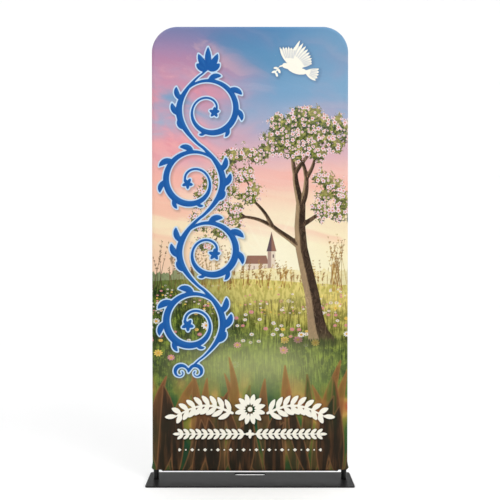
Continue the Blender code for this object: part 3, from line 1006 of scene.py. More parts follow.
def paint_meadow(paint, u, v, sky, distance, stalks):
    """Hills and meadow below the horizon: hazy ridges, then grass, coarser and greener towards the front."""
    horizon = sizes().horizon
    tuft = paint.stretched_noise(u, v, 160.0, 9.0, 3.0, 0.6)
    far_edge = horizon + 0.010 * paint.sin(u * 6.1 + 0.8) + 0.005 * paint.sin(u * 17.0) - 0.004
    wooded = paint.rise(u, -0.06, -0.30) + paint.rise(u, 0.14, 0.36)
    crowns = paint.noise(paint.vector(u * 36.0, 0.0), 1.0, 4.0, 0.62) - 0.40
    far_edge = far_edge + crowns * (wooded * 0.060 + 0.010)
    middle_edge = horizon - 0.052 + 0.017 * paint.sin(u * 4.3 + 2.2) + (tuft - 0.5) * 0.008
    bush = paint.stretched_noise(u, v, 22.0, 3.0, 4.0, 0.6)
    shady = paint.rise(u, 0.02, -0.40)
    near_edge = horizon - 0.115 + 0.030 * paint.sin(u * 3.4 - 1.0) + (tuft - 0.5) * 0.030
    near_edge = near_edge + shady * ((bush - 0.45) * 0.13 + 0.045)
    light = paint.least(paint.rise(distance, 0.55, 0.04) + paint.rise(u, 0.10, 0.46) * 0.55, 1.0)
    copse = paint.stretched_noise(u, v, 70.0, 70.0, 4.0, 0.6)
    far = paint.between(light, (128, 140, 100), (247, 236, 186))
    trees = paint.between(light, (88, 104, 66), (224, 200, 132))
    far = paint.mix(paint.rise(copse, 0.40, 0.66) * 0.40, far, trees)
    sky = paint_chapel(paint, u, v, sky, light)
    colour = paint.mix(paint.rise(far_edge - v, -0.001, 0.0015), sky, far)
    grain = paint.stretched_noise(u, v, 60.0, 26.0, 4.0, 0.6)
    middle = paint.between(light, (96, 114, 50), (238, 220, 132))
    tufts = paint.between(light, (56, 76, 32), (182, 170, 80))
    middle = paint.mix(paint.rise(grain, 0.40, 0.62) * 0.70, middle, tufts)
    colour = paint.mix(paint.rise(middle_edge - v, -0.001, 0.0015), colour, middle)
    back_stalk = paint.between(light, (98, 78, 50), (196, 154, 72))
    colour = paint.mix(paint.rise(stalks[1], 0.0010, -0.0006) * 0.80, colour, back_stalk)
    sway = (paint.stretched_noise(u, v, 9.0, 5.0, 2.0) - 0.5) * 0.10
    blade = paint.noise(paint.vector((u + sway * (v - 0.4)) * 210.0, v * 13.0), 1.0, 4.0, 0.62)
    coarse = paint.noise(paint.vector((u - sway * (v - 0.4)) * 95.0, v * 7.0), 1.0, 4.0, 0.6)
    patch = paint.stretched_noise(u, v, 7.0, 10.0, 4.0, 0.55)
    green = paint.between(paint.rise(patch, 0.38, 0.62), (32, 60, 24), (112, 132, 52))
    gold = paint.between(paint.rise(patch, 0.38, 0.62), (150, 146, 60), (226, 202, 104))
    sunny = paint.least(light * 0.80 + paint.rise(u, -0.15, 0.35) * 0.35, 1.0) * paint.rise(v, 0.58, 0.84)
    green = paint.tint(shady * paint.rise(bush, 0.62, 0.40) * 0.85, green, (22, 42, 18))
    near = paint.mix(sunny, green, gold)
    tip = paint.between(sunny, (168, 186, 78), (246, 226, 138))
    near = paint.mix(paint.rise(blade, 0.51, 0.66) * (0.66 - shady * 0.34), near, tip)
    gap = paint.between(sunny, (26, 46, 18), (112, 100, 36))
    near = paint.mix(paint.rise(blade, 0.48, 0.36) * 0.66, near, gap)
    hollow = paint.between(sunny, (20, 36, 16), (90, 82, 32))
    near = paint.mix(paint.rise(coarse, 0.48, 0.34) * 0.74, near, hollow)
    clump = paint.stretched_noise(u, v, 40.0, 30.0, 5.0, 0.68)
    depth = paint.between(sunny, (18, 38, 14), (116, 104, 34))
    near = paint.mix(paint.rise(clump, 0.50, 0.40) * (shady * 0.40 + 0.34), near, depth)
    gleam = paint.between(sunny, (140, 160, 56), (254, 232, 132))
    near = paint.mix(paint.rise(clump, 0.54, 0.64) * 0.50, near, gleam)
    near = paint.tint(light * paint.rise(v, 0.72, 0.94) * 0.34, near, (250, 234, 156))
    colour = paint.mix(paint.rise(near_edge - v, -0.001, 0.0015), colour, near)
    front_stalk = paint.between(light, (70, 48, 34), (150, 106, 44))
    colour = paint.mix(paint.rise(stalks[0], 0.0010, -0.0006) * 0.88, colour, front_stalk)
    return paint_meadow_flowers(paint, u, v, colour, blade)


def paint_meadow_flowers(paint, u, v, colour, blade):
    """Flowers in drifts, in three tiers from small ones far off to large ones near, dulled by the grass."""
    tiers = (
        (0.022, 5, 1.6, 0.80, 0.93, 0.70),
        (0.036, 9, 1.4, 0.66, 0.86, 0.62),
        (0.074, 9, 1.3, 0.57, 0.78, 0.50),
    )
    for cell, petals, flat_by, low, high, keep in tiers:
        place = paint.vector(u, v * flat_by)
        petal, heart, first, third, reach, centre = flowers(paint, place, cell, petals, 0.30)
        across, up, _ = paint.split(centre)
        up = up * (1.0 / flat_by)
        drift = paint.noise(paint.vector(across * 6.0 + cell * 90.0, up * 11.0), 1.0, 2.0)
        shown = petal * paint.maths("LESS_THAN", first, paint.rise(drift, 0.46, 0.60) * keep + 0.06)
        shown = shown * paint.rise(up, low - 0.03, low) * paint.rise(up, high, high - 0.04)
        bloom = paint.between(paint.maths("GREATER_THAN", third, 0.55), (246, 244, 238), (226, 138, 160))
        bloom = paint.tint(paint.maths("GREATER_THAN", third, 0.82), bloom, (240, 206, 84))
        bloom = paint.tint(paint.rise(reach, 0.9, 0.2) * 0.5, bloom, (176, 112, 128))
        bloom = paint.tint(paint.rise(blade, 0.50, 0.34) * 0.4, bloom, (150, 130, 120))
        bloom = paint.tint(heart, bloom, (222, 170, 52))
        colour = paint.mix(shown, colour, bloom)
    return colour


def paint_foreground(paint, u, v, colour, blades):
    """The front: a pale glow over the grass, blurred blooms, three ranks of tall leaves, and a dark hem."""
    haze = paint.rise(v, 0.74, 0.54) * paint.rise(abs(u), 0.56, 0.06)
    colour = paint.tint(haze * 0.60, colour, (184, 190, 130))
    soft = paint.stretched_noise(u, v, 7.0, 4.5, 2.0, 0.45)
    blur = (
        (0.30, (26, 74, 48)),
        (0.44, (62, 96, 46)),
        (0.54, (128, 126, 52)),
        (0.64, (190, 150, 78)),
        (0.76, (172, 92, 58)),
    )
    ground = paint.ramp(soft, blur)
    ground = paint.tint(paint.rise(v, 0.32, 0.08) * 0.66, ground, (38, 58, 36))
    colour = paint.mix(paint.rise(v, 0.55, 0.33), colour, ground)
    grain = paint.stretched_noise(u, v, 46.0, 5.0, 3.0, 0.6)
    hue = paint.stretched_noise(u, v, 9.0, 0.7, 1.0)
    foot = paint.rise(v, 0.48, 0.14)
    ranks = (
        (blades[0], (146, 88, 50), (92, 102, 50), (66, 52, 36), 0.70),
        (blades[1], (114, 68, 44), (56, 80, 40), (58, 50, 35), 0.88),
        (blades[2], (64, 48, 35), (42, 56, 34), (44, 38, 28), 0.97),
    )
    for field, warm, cool, base, cover in ranks:
        tone = paint.between(paint.rise(hue, 0.56, 0.62), warm, cool)
        tone = paint.tint(foot, tone, base)
        tone = paint.tint(paint.rise(grain, 0.42, 0.68) * 0.12, tone, (190, 124, 76))
        tone = paint.tint(paint.rise(field, -0.003, -0.030) * 0.30, tone, (30, 22, 18))
        tone = paint.tint(paint.rise(field, -0.007, -0.001) * 0.22, tone, (214, 150, 96))
        colour = paint.mix(paint.rise(field, 0.0035, -0.0015) * cover, colour, tone)
    return colour


def paint_tree(paint, u, v, colour, wood, twigs, wood_lit, twigs_lit):
    """The tree: bark in long warped streaks, lit from the sun's side, and leaves and blossom near its twigs."""
    sway = paint.stretched_noise(u, v, 20.0, 12.0)
    streak = paint.noise(paint.vector(u * 130.0 + sway * 9.0, v * 11.0), 1.0, 5.0, 0.65)
    crack = paint.noise(paint.vector(u * 64.0 + sway * 6.0, v * 6.0), 1.0, 3.0, 0.60)
    bark = paint.mix(paint.rise(streak, 0.30, 0.66), linear(66, 48, 34), tuple(colours().wood))
    bark = paint.tint(paint.rise(streak, 0.58, 0.78) * 0.8, bark, (178, 154, 124))
    bark = paint.tint(paint.rise(crack, 0.46, 0.40) * 0.7, bark, (38, 27, 20))
    lit = (wood_lit - wood) * (1.0 / 0.0067)
    bark = paint.tint(paint.rise(lit, -0.1, -0.9) * 0.45, bark, (214, 184, 142))
    bark = paint.tint(paint.rise(lit, 0.1, 0.95) * 0.50, bark, (34, 25, 20))
    foot_u = (u - 0.300) * (1.0 / 0.20)
    foot_v = (v - 0.655) * (1.0 / 0.030)
    shadow = paint.rise(foot_u * foot_u + foot_v * foot_v, 1.0, 0.1)
    colour = paint.tint(shadow * 0.62, colour, (30, 40, 20))
    grass = paint.stretched_noise(u, v, 210.0, 9.0, 3.0, 0.6)
    above = paint.rise(v + (grass - 0.5) * 0.075, 0.662, 0.670)
    colour = paint.mix(paint.rise(wood, 0.0012, -0.0008) * above, colour, bark)
    place = paint.vector(u, v)
    clump = paint.noise(place, 20.0, 4.0, 0.6)
    spray = paint.noise(place, 95.0, 3.0, 0.65)
    leafy = paint.rise(twigs, 0.085, 0.005) + (clump - 0.5) * 1.5 + (spray - 0.5) * 1.2
    leaves = paint.rise(leafy, 0.60, 0.66)
    shade = paint.noise(place, 70.0, 4.0, 0.62)
    green = paint.between(paint.rise(shade, 0.36, 0.62), (48, 62, 28), (138, 146, 66))
    green = paint.tint(paint.rise(shade, 0.58, 0.76) * 0.8, green, (226, 202, 118))
    side = (twigs_lit - twigs) * 44.0
    green = paint.tint(paint.rise(side, -0.1, -0.9) * 0.45, green, (40, 52, 30))
    green = paint.tint(paint.rise(side, 0.2, 1.0) * 0.22, green, (240, 214, 140))
    colour = paint.mix(leaves * 0.95, colour, green)
    for cell, keep, size in ((0.015, 0.40, 0.42), (0.024, 0.55, 0.46)):
        petal, heart, first, _, reach, _ = flowers(paint, place, cell, 5, size)
        bloom = paint.between(paint.rise(reach, 0.95, 0.15), (250, 236, 238), (230, 152, 172))
        bloom = paint.tint(heart, bloom, (206, 150, 90))
        shown = petal * paint.maths("LESS_THAN", first, keep) * paint.rise(leafy, 0.52, 0.62)
        colour = paint.mix(shown, colour, bloom)
    return colour


def paint_vine(paint, colour, vine, shadow, vine_lit):
    """The blue scroll, lighter on its upper sides, with a pale edge and a soft shadow to the lower right."""
    colour = paint.tint(paint.rise(shadow, 0.018, -0.004) * 0.42, colour, (70, 72, 84))
    colour = paint.mix(paint.rise(vine, 0.0066, 0.0048), colour, tuple(colours().vine_edge))
    lit = (vine_lit - vine) * (1.0 / 0.0057)
    blue = paint.tint(paint.rise(lit, 0.35, 1.0) * 0.10, tuple(colours().vine), (84, 156, 214))
    blue = paint.tint(paint.rise(lit, -0.35, -1.0) * 0.22, blue, (18, 62, 124))
    return paint.mix(paint.inside(vine, 0.0008), colour, blue)


def paint_garland(paint, u, v, colour, garland, shadow, feather_lines):
    """The ivory dove and garland, and below them a fine row of dots and lozenges made from u and v alone."""
    cell = 0.030
    along = paint.maths("PINGPONG", u, cell / 2)
    whole = paint.maths("PINGPONG", u, cell)
    across = v - DOT_ROW_HEIGHT
    dot = (along * along + across * across) ** 0.5 - 0.0036
    lozenge = abs(cell - whole) + abs(across) * 1.2 - 0.0095
    inside = abs(u) - 0.335
    row = paint.most(paint.least(dot, lozenge), inside)
    feathers = paint.rise(feather_lines, 0.0050, 0.0002)
    ivory = paint.tint(feathers * 0.42, tuple(colours().ivory), (150, 164, 190))
    dark = paint.rise(paint.least(shadow, row + 0.001), 0.010, -0.002)
    colour = paint.tint(dark * paint.rise(v, 1.2, 0.9) * 0.55, colour, (18, 14, 10))
    under_dove = paint.rise(shadow, 0.014, -0.004) * paint.rise(v, 0.9, 1.2)
    colour = paint.tint(under_dove * 0.35, colour, (70, 84, 120))
    return paint.mix(paint.inside(paint.least(garland, row), 0.0009), colour, ivory)


def print_material():
    """The printed stretch polyester: the picture from its distance fields, on a fine knit."""
    paint = Paint("printed_stretch_cloth")
    uv = paint.node("UVMap", {"uv_map": "print"}, gives="vector")
    u, v, _ = paint.split(uv)
    place = paint.vector(u, v)
    reads = {}
    for name in ("vine_wood", "twigs_blades", "blades_garland", "lit_sides", "stalks"):
        wire = paint.node("Attribute", {"attribute_name": name}, None, "Vector", "vector")
        reads[name] = paint.split(wire)
    vine, vine_shadow, wood = reads["vine_wood"]
    twigs, back_blades, middle_blades = reads["twigs_blades"]
    front_blades, garland, garland_shadow = reads["blades_garland"]
    wood_lit, vine_lit, twigs_lit = reads["lit_sides"]
    sky, distance = paint_sky(paint, u, v, place)
    colour = paint_meadow(paint, u, v, sky, distance, reads["stalks"])
    colour = paint_tree(paint, u, v, colour, wood, twigs, wood_lit, twigs_lit)
    colour = paint_foreground(paint, u, v, colour, (back_blades, middle_blades, front_blades))
    colour = paint_vine(paint, colour, vine, vine_shadow, vine_lit)
    colour = paint_garland(paint, u, v, colour, garland, garland_shadow, reads["stalks"][2])
    solid = paint.place()
    dye = paint.solid_noise(solid, 260.0, 3.0)
    colour = colour * ((dye * 0.12 + 0.94) * colours().cloth_white)
    return finish_cloth(paint, solid, colour, dye)


def plain_cloth_material():
    """The plain white back panel: the same knit, with a faint unevenness of tone."""
    paint = Paint("plain_stretch_cloth")
    solid = paint.place()
    tone = paint.solid_noise(solid, 7.0)
    grain = paint.solid_noise(solid, 420.0, 2.0)
    white = tuple(colours().lining)
    colour = paint.tint(paint.rise(tone, 0.3, 0.7) * 0.10 + grain * 0.05, white, (214, 214, 212))
    return finish_cloth(paint, solid, colour, grain)


def thread_material(name, dye):
    """Spun polyester thread: fine twist along each stitch."""
    paint = Paint(name)
    solid = paint.place()
    twist = paint.solid_noise(solid, 2600.0, 2.0)
    colour = paint.mix(paint.rise(twist, 0.3, 0.7) * 0.4, tuple(dye), tuple(0.5 * channel for channel in dye))
    return paint.finish(Base_Color=colour, Roughness=0.7, Normal=paint.bump(twist, 0.00008, 0.6))


def coated_steel_material():
    """Charcoal powder coat: an even grain of fine pits, with a few faint rubs."""
    paint = Paint("charcoal_powder_coat")
    solid = paint.place()
    grain = paint.solid_noise(solid, 1100.0, 3.0, 0.6)
    cloud = paint.solid_noise(solid, 14.0, 4.0, 0.6)
    rub = paint.solid_noise(paint.scaled(solid, (6.0, 60.0, 6.0)), 3.0, 5.0, 0.7)
    base = tuple(colours().plate)
    colour = paint.tint(paint.rise(grain, 0.35, 0.7) * 0.25, base, (48, 48, 48))
    colour = paint.tint(paint.rise(rub, 0.66, 0.78) * 0.12, colour, (84, 84, 82))
    return paint.finish(
        Base_Color=colour,
        Roughness=cloud * 0.06 + 0.37,
        Normal=paint.bump(grain, 0.00003, 0.15),
        Specular_IOR_Level=0.048,
    )


def black_paint_material():
    """Black satin paint on drawn tube: faint lines along the tube under the gloss."""
    paint = Paint("black_satin_paint")
    solid = paint.place()
    drawn = paint.solid_noise(paint.scaled(solid, (900.0, 900.0, 14.0)), 1.0, 3.0)
    speck = paint.solid_noise(solid, 1400.0, 2.0)
    colour = paint.tint(paint.rise(speck, 0.55, 0.75) * 0.3, tuple(colours().post), (30, 30, 30))
    return paint.finish(
        Base_Color=colour,
        Roughness=drawn * 0.12 + 0.30,
        Normal=paint.bump(drawn, 0.00004, 0.3),
        Specular_IOR_Level=0.22,
    )


def tube_material():
    """Bare aluminium tube, with fine lines drawn along its length and a little dulling."""
    paint = Paint("drawn_aluminium")
    solid = paint.place()
    drawn = paint.solid_noise(paint.scaled(solid, (700.0, 700.0, 20.0)), 1.0)
    dull = paint.solid_noise(solid, 24.0)
    colour = paint.tint(paint.rise(dull, 0.4, 0.7) * 0.4, tuple(colours().tube), (168, 170, 172))
    return paint.finish(
        Base_Color=colour, Metallic=1.0, Roughness=drawn * 0.18 + 0.26, Normal=paint.bump(drawn, 0.00005, 0.3)
    )


# Stand


def rounded_loop(half_x, half_y, radius, centre_y):
    """Points at even distances round a rounded rectangle: four quarter turns and the straight lines between."""
    radius = min(radius, half_x, half_y)
    corner = np.linspace(0, QUARTER, LOOP_POINTS // 8)
    pieces = []
    for quarter, (side_x, side_y) in enumerate(((1, 1), (-1, 1), (-1, -1), (1, -1))):
        angle = corner + QUARTER * quarter
        x = side_x * (half_x - radius) + radius * np.cos(angle)
        y = side_y * (half_y - radius) + radius * np.sin(angle)
        pieces.append(np.stack([x, y + centre_y], axis=-1))
    loop = np.concatenate(pieces)
    closed = np.vstack([loop, loop[:1]])
    run = np.append(0, np.cumsum(np.hypot(*np.diff(closed, axis=0).T)))
    even = np.linspace(0, run[-1], LOOP_POINTS, endpoint=False)
    return np.stack([np.interp(even, run, closed[:, 0]), np.interp(even, run, closed[:, 1])], axis=-1)


def reach_at(loop, centre_y, angles):
    """Where rays from (0, centre_y) at these angles meet a loop that goes once round it."""
    from_centre = loop - (0.0, centre_y)
    own = np.arctan2(from_centre[:, 1], from_centre[:, 0]) % math.tau
    order = np.argsort(own)
    reach = np.hypot(from_centre[:, 0], from_centre[:, 1])
    own = own[order]
    reach = reach[order]
    own = np.concatenate([own[-1:] - math.tau, own, own[:1] + math.tau])
    reach = np.concatenate([reach[-1:], reach, reach[:1]])
    found = np.interp(angles, own, reach)
    return np.stack([found * np.cos(angles), centre_y + found * np.sin(angles)], axis=-1)


def plate_surface():
    """The plate as rings round its slot and rim: an angle to a column, a level of the rounded section to a row.

    A ring a little way inside each rounded edge keeps the large flat faces from being shaded as if they curved.
    """
    half_x = PLATE_HIGH.x
    half_y = PLATE_HIGH.y
    slot_y = half_y - SLOT_FROM_BACK - SLOT_WIDTH / 2
    rim = rounded_loop(half_x, half_y, PLATE_CORNER, 0.0)
    slot = rounded_loop(SLOT_LENGTH / 2, SLOT_WIDTH / 2, SLOT_WIDTH / 2, slot_y)
    own = []
    for loop, every in ((rim, RIM_STEP), (slot, SLOT_STEP)):
        picked = loop[::every] - (0.0, slot_y)
        own.append(np.arctan2(picked[:, 1], picked[:, 0]) % math.tau)
    angles = np.unique(np.round(np.concatenate(own), 5))
    turn = np.linspace(0, QUARTER, EDGE_STEPS + 1)
    away = PLATE_EDGE * (1 - np.sin(turn))
    lift = PLATE_EDGE * (1 - np.cos(turn))
    border = PLATE_EDGE + FLAT_BORDER
    wall = [(border, 0.0), *zip(away, lift)]
    wall += [*zip(away[::-1], PLATE_TOP - lift[::-1]), (border, PLATE_TOP)]
    rings = []
    for offset, height in wall:
        end_radius = SLOT_WIDTH / 2 + offset
        loop = rounded_loop(SLOT_LENGTH / 2 + offset, end_radius, end_radius, slot_y)
        rings.append((reach_at(loop, slot_y, angles), height))
    for offset, height in reversed(wall):
        loop = rounded_loop(half_x - offset, half_y - offset, PLATE_CORNER - offset, 0.0)
        rings.append((reach_at(loop, slot_y, angles), height))
    points = [np.column_stack([ring, np.full(len(ring), height)]) for ring, height in rings]
    number = np.arange(len(rings) * len(angles)).reshape(len(rings), -1)
    return np.concatenate(points), grid_quads(number, closed_across=True, closed_along=True)[:, ::-1]


def turned_surface(x, radius, height, sides, closed=False):
    """A profile turned about the upright line through x: x + radius cos a, radius sin a, height."""
    angle = np.linspace(0, math.tau, sides, endpoint=False)
    points = np.stack(
        [
            x + radius[:, None] * np.cos(angle),
            radius[:, None] * np.sin(angle),
            np.repeat(height[:, None], sides, axis=1),
        ],
        axis=-1,
    )
    number = np.arange(len(radius) * sides).reshape(-1, sides)
    return points.reshape(-1, 3), grid_quads(number, closed_across=True, closed_along=closed)


def post_section():
    """Radii and heights round a post's wall from its outer foot: outside, rounded lip, bore."""
    turn = np.linspace(0, QUARTER, LIP_STEPS + 1)
    bore = POST_RADIUS - POST_WALL
    outer = POST_RADIUS - POST_LIP + POST_LIP * np.cos(turn)
    inner = bore + POST_LIP - POST_LIP * np.sin(turn)
    shoulder = POST_HIGH.z - POST_LIP
    lip = np.concatenate([shoulder + POST_LIP * np.sin(turn), shoulder + POST_LIP * np.cos(turn)])
    radius = np.concatenate([[POST_RADIUS], outer, inner, [bore]])
    return radius, np.concatenate([[POST_LOW.z], lip, [POST_LOW.z]])


# Sewing


def stitches(centres, along, out, length, width):
    """Rows of thread: each stitch has four rings of four points, low at its ends and proud in its middle."""
    across = np.cross(along, out)
    share = np.array((-1.0, -0.55, 0.55, 1.0))
    lift = width * np.array((-0.15, 0.35, 0.35, -0.15))
    girth = width / 2 * np.array((0.45, 1.0, 1.0, 0.45))
    angle = np.arange(4) * QUARTER
    spine = centres[:, None] + along[:, None] * (share * length / 2)[None, :, None]
    spine = spine + out[:, None] * lift[None, :, None]
    ring = across[:, None, None] * (girth[:, None] * np.cos(angle))[None, :, :, None]
    ring = ring + out[:, None, None] * (girth[:, None] * np.sin(angle))[None, :, :, None]
    points = (spine[:, :, None] + ring).reshape(-1, 3)
    one = grid_quads(np.arange(16).reshape(4, 4), closed_across=True)
    caps = np.array([[3, 2, 1, 0], [12, 13, 14, 15]])
    one = np.concatenate([one, caps])
    quads = (np.arange(len(centres))[:, None, None] * 16 + one[None]).reshape(-1, 4)
    return points, quads


def unit(vectors):
    return vectors / np.linalg.norm(vectors, axis=1, keepdims=True)


def spaced(path, outward, pitch):
    """Places a pitch apart along a path of points, with the directions along it and outwards at each.

    The direction along is the way from just behind a place to just ahead of it.
    """
    run = np.append(0, np.cumsum(np.linalg.norm(np.diff(path, axis=0), axis=1)))
    at = np.arange(pitch / 2, run[-1], pitch)

    def read(rows, where):
        return np.stack([np.interp(where, run, rows[:, axis]) for axis in range(3)], axis=-1)

    along = unit(read(path, at + STITCH_LOOK) - read(path, at - STITCH_LOOK))
    out = read(outward, at)
    out = out - along * np.sum(out * along, axis=1, keepdims=True)
    return read(path, at), along, unit(out)


def hem_seam(facing, rise):
    """A row of stitches round both post openings of one panel, a rise above the free hem."""
    all_points = []
    all_quads = []
    taken = 0
    for side in (-1, 1):
        x = side * np.linspace(HEM_WRAP_END - STITCH_LEAD, AXIS_X, 60)
        wrap, run = hem_wrap(x)
        front = hem_strip(x, 1.0 - rise / run, 0.0, 0.0)
        turn = np.linspace(0, QUARTER * STITCH_TURN, 24)[1:]
        share = np.sin(turn)
        drop = RAIL_Z - seam_hem(side, share)
        rolled = hem_side(side, turn, np.zeros_like(turn), 1.0 - rise / drop, 0.0, 0.0)
        path = np.concatenate([front, rolled])
        curl = (wrap / ROLL) * (run - rise)
        out_front = np.stack([np.zeros_like(x), -np.cos(curl), -np.sin(curl)], axis=-1)
        out_roll = np.stack([side * share, -np.cos(turn), np.zeros_like(turn)], axis=-1)
        pitch = sizes().stitch_pitch
        places, along, out = spaced(path, np.concatenate([out_front, out_roll]), pitch)
        points, quads = stitches(places, along, out, pitch * STITCH_SHARE, sizes().stitch_width)
        if facing < 0:
            points[:, 1] *= -1
            quads = quads[:, ::-1]
        all_points.append(points)
        all_quads.append(quads + taken)
        taken += len(points)
    return np.concatenate(all_points), np.concatenate(all_quads)


def outward_quads(points, quads):
    """The quads, turned round if the closed surface they make would enclose a volume below 0."""
    corner = points[quads]
    volume = np.einsum("ij,ij->i", corner[:, 0], np.cross(corner[:, 1], corner[:, 2])).sum()
    volume += np.einsum("ij,ij->i", corner[:, 0], np.cross(corner[:, 2], corner[:, 3])).sum()
    return quads if volume > 0 else quads[:, ::-1]


# Operators


class BANNER_OT_front_panel(bpy.types.Operator):
    """Make the printed front panel of the sleeve"""

    bl_idname = "banner.front_panel"
    bl_label = "Printed front panel"

    def execute(self, context):
        points, quads, places = sleeve_panel(1, sizes().cell)
        material = print_material()
        fields = print_fields(places)
        replaced = ["cover_front"]
        panel = new_piece("printed_panel", points, quads, material, replaced, places, fields)
        declare_panel()
        return {"FINISHED"}


class BANNER_OT_back_panel(bpy.types.Operator):
    """Make the plain back panel of the sleeve"""

    bl_idname = "banner.back_panel"
    bl_label = "Plain back panel"

    def execute(self, context):
        points, quads, places = sleeve_panel(-1, sizes().back_cell)
        material = plain_cloth_material()
        panel = new_piece("plain_panel", points, quads, material, ["cover_back"], places)
        declare_panel()
        return {"FINISHED"}


def declare_panel():
    """Makes a list of the frame's tube pieces, which nothing then uses."""
    tubes = ["frame_upright_left", "frame_upright_right", "frame_corner_left", "frame_corner_right"]
    tubes += ["frame_top_rail", "frame_bottom_rail"]


class BANNER_OT_hem_stitches(bpy.types.Operator):
    """Sew the twin rows of stitches round the sleeve's openings for the posts"""

    bl_idname = "banner.hem_stitches"
    bl_label = "Hem stitches"

    def execute(self, context):
        dark = thread_material("dark_thread", colours().dark_thread)
        white = thread_material("white_thread", colours().thread)
        for name, facing, slot, material in (
            ("front_hem_stitches", 1, "printed_cloth", dark),
            ("back_hem_stitches", -1, "plain_cloth", white),
        ):
            rows = [hem_seam(facing, rise) for rise in STITCH_RISES]
            points = np.concatenate([row[0] for row in rows])
            quads = np.concatenate([rows[0][1], rows[1][1] + len(rows[0][0])])
            new_piece(name, points, outward_quads(points, quads), material)
        return {"FINISHED"}


class BANNER_OT_stand(bpy.types.Operator):
    """Make the plate and posts, and finish the frame's tubes"""

    bl_idname = "banner.stand"
    bl_label = "Plate, posts and frame"

    def execute(self, context):
        points, quads = plate_surface()
        steel = coated_steel_material()
        quads = outward_quads(points, quads)
        plate = new_piece("slotted_plate", points, quads, steel, ["base_plate"])
        plate.data.set_sharp_from_angle(angle=SHARP)
        paint = black_paint_material()
        for word, side in (("left", -1), ("right", 1)):
            points, quads = turned_surface(side * AXIS_X, *post_section(), POST_SIDES, closed=True)
            quads = outward_quads(points, quads)
            post = new_piece(f"{word}_post", points, quads, paint, [f"post_{word}"])
            post.data.set_sharp_from_angle(angle=SHARP)
        tube = tube_material()
        for name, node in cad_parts.items():
            if name.startswith("frame_"):
                node.data.materials.clear()
                node.data.materials.append(tube)
        return {"FINISHED"}


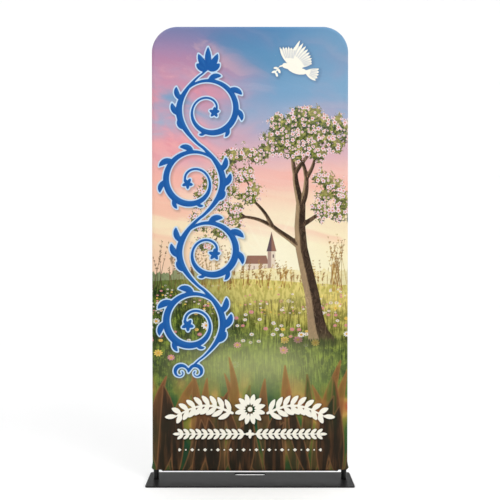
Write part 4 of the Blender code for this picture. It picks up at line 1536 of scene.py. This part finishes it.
class BANNER_OT_stage(bpy.types.Operator):
    """Set up the floor, the lamps and the camera"""

    bl_idname = "banner.stage"
    bl_label = "Stage"

    def execute(self, context):
        scene = context.scene
        scene.view_settings.view_transform = "Standard"
        light = scene.banner_light
        self.add_floor(tuple(light.floor))
        self.add_lamps(scene, light)
        self.add_camera(scene)
        return {"FINISHED"}

    def add_floor(self, colour):
        """A round floor that turns up smoothly into a wall: flat to 6 m, then a quarter circle of 2.5 m."""
        flat, bend, wall, rings, bend_rings, sides = 6.0, 2.5, 3.0, 30, 24, 128
        turn = np.linspace(0, QUARTER, bend_rings + 1)[1:]
        radius = np.concatenate([np.linspace(0.002, flat, rings), flat + bend * np.sin(turn), [flat + bend]])
        height = np.concatenate([np.zeros(rings), bend * (1 - np.cos(turn)), [bend + wall]])
        points, quads = turned_surface(0.0, radius, height, sides)
        paint = Paint("studio_floor_painted_light")
        solid = paint.place()
        tone = paint.solid_noise(solid, 0.6, 2.0)
        x, y, _ = paint.split(solid)
        # Painted light: within 1.5 m of the banner the floor is painted darker, to take back the lamps' extra
        # light there, and in front of the plate it is painted lighter, to lift the shade that the banner throws
        # on it.
        away = paint.rise((x * x + y * y) ** 0.5, 1.5, 5.0)
        near = paint.between(paint.rise(y, -0.02, -0.14), (247, 247, 247), (255, 255, 255))
        shade = paint.mix(away, near, colour)
        shade = shade * (1.0 - paint.rise(tone, 0.3, 0.7) * 0.012)
        material = paint.finish(Base_Color=shade, Roughness=0.9, Specular_IOR_Level=0.1)
        mesh = bpy.data.meshes.new("floor")
        mesh.from_pydata(points.tolist(), [], quads.tolist())
        mesh.shade_smooth()
        mesh.materials.append(material)
        floor = bpy.data.objects.new("floor", mesh)
        bpy.context.scene.collection.objects.link(floor)

    def add_lamps(self, scene, light):
        """An even white sky and two large round lamps, one at the upper right in front and one overhead."""
        world = bpy.data.worlds.new("studio")
        world.use_nodes = True
        sky = world.node_tree.nodes["Background"]
        sky.inputs["Color"].default_value = (1.0, 1.0, 1.0, 1.0)
        sky.inputs["Strength"].default_value = light.sky
        scene.world = world
        target = Vector((0.0, -0.6, 0.5))
        lamps = (("key", light.key, (2.6, -3.6, 5.8)), ("top", light.top, (0.3, -0.3, 4.2)))
        for name, power, place in lamps:
            lamp = bpy.data.lights.new(name, "AREA")
            lamp.shape = "DISK"
            lamp.size = 2.8
            lamp.energy = power
            lamp_object = bpy.data.objects.new(name, lamp)
            lamp_object.location = place
            aim = target - lamp_object.location
            lamp_object.rotation_euler = aim.to_track_quat("-Z", "Y").to_euler()
            scene.collection.objects.link(lamp_object)

    def add_camera(self, scene):
        """The photograph's view: level with the banner's middle, a degree down."""
        distance, height, pitch = 4.198, 1.1553, 1.005
        focal_pixels, frame_pixels, sensor = 898.2, 500.0, 36.0
        camera = bpy.data.cameras.new("camera")
        camera.sensor_width = sensor
        camera.lens = focal_pixels / frame_pixels * sensor
        viewer = bpy.data.objects.new("camera", camera)
        viewer.location = (0.0, -distance, height)
        viewer.rotation_euler = (math.radians(90 - pitch), 0.0, 0.0)
        scene.collection.objects.link(viewer)
        scene.camera = viewer


class BANNER_PT_panel(bpy.types.Panel):
    """Lists the banner's pieces in the sidebar."""

    bl_idname = "BANNER_PT_panel"
    bl_label = "Church Banner"
    bl_space_type = "VIEW_3D"
    bl_region_type = "UI"
    bl_category = "Banner"

    def draw(self, context):
        layout = self.layout
        for operator in OPERATORS:
            layout.operator(operator.bl_idname)
        for group in (context.scene.banner_sizes, context.scene.banner_colours, context.scene.banner_light):
            box = layout.box()
            for name in group.__annotations__:
                box.prop(group, name)


OPERATORS = (
    BANNER_OT_stand,
    BANNER_OT_front_panel,
    BANNER_OT_back_panel,
    BANNER_OT_hem_stitches,
    BANNER_OT_stage,
)
GROUPS = {"banner_sizes": BannerSizes, "banner_colours": BannerColours, "banner_light": BannerLight}
CLASSES = (*GROUPS.values(), *OPERATORS, BANNER_PT_panel)


def register():
    for made in CLASSES:
        bpy.utils.register_class(made)
    for name, group in GROUPS.items():
        setattr(bpy.types.Scene, name, PointerProperty(type=group))


def unregister():
    for name in GROUPS:
        delattr(bpy.types.Scene, name)
    for made in reversed(CLASSES):
        bpy.utils.unregister_class(made)


def main():
    """Makes the stand, the sleeve and the stage."""
    register()
    bpy.ops.banner.stand()
    bpy.ops.banner.front_panel()
    bpy.ops.banner.back_panel()
    bpy.ops.banner.hem_stitches()
    bpy.ops.banner.stage()


if __name__ == "__main__":
    main()
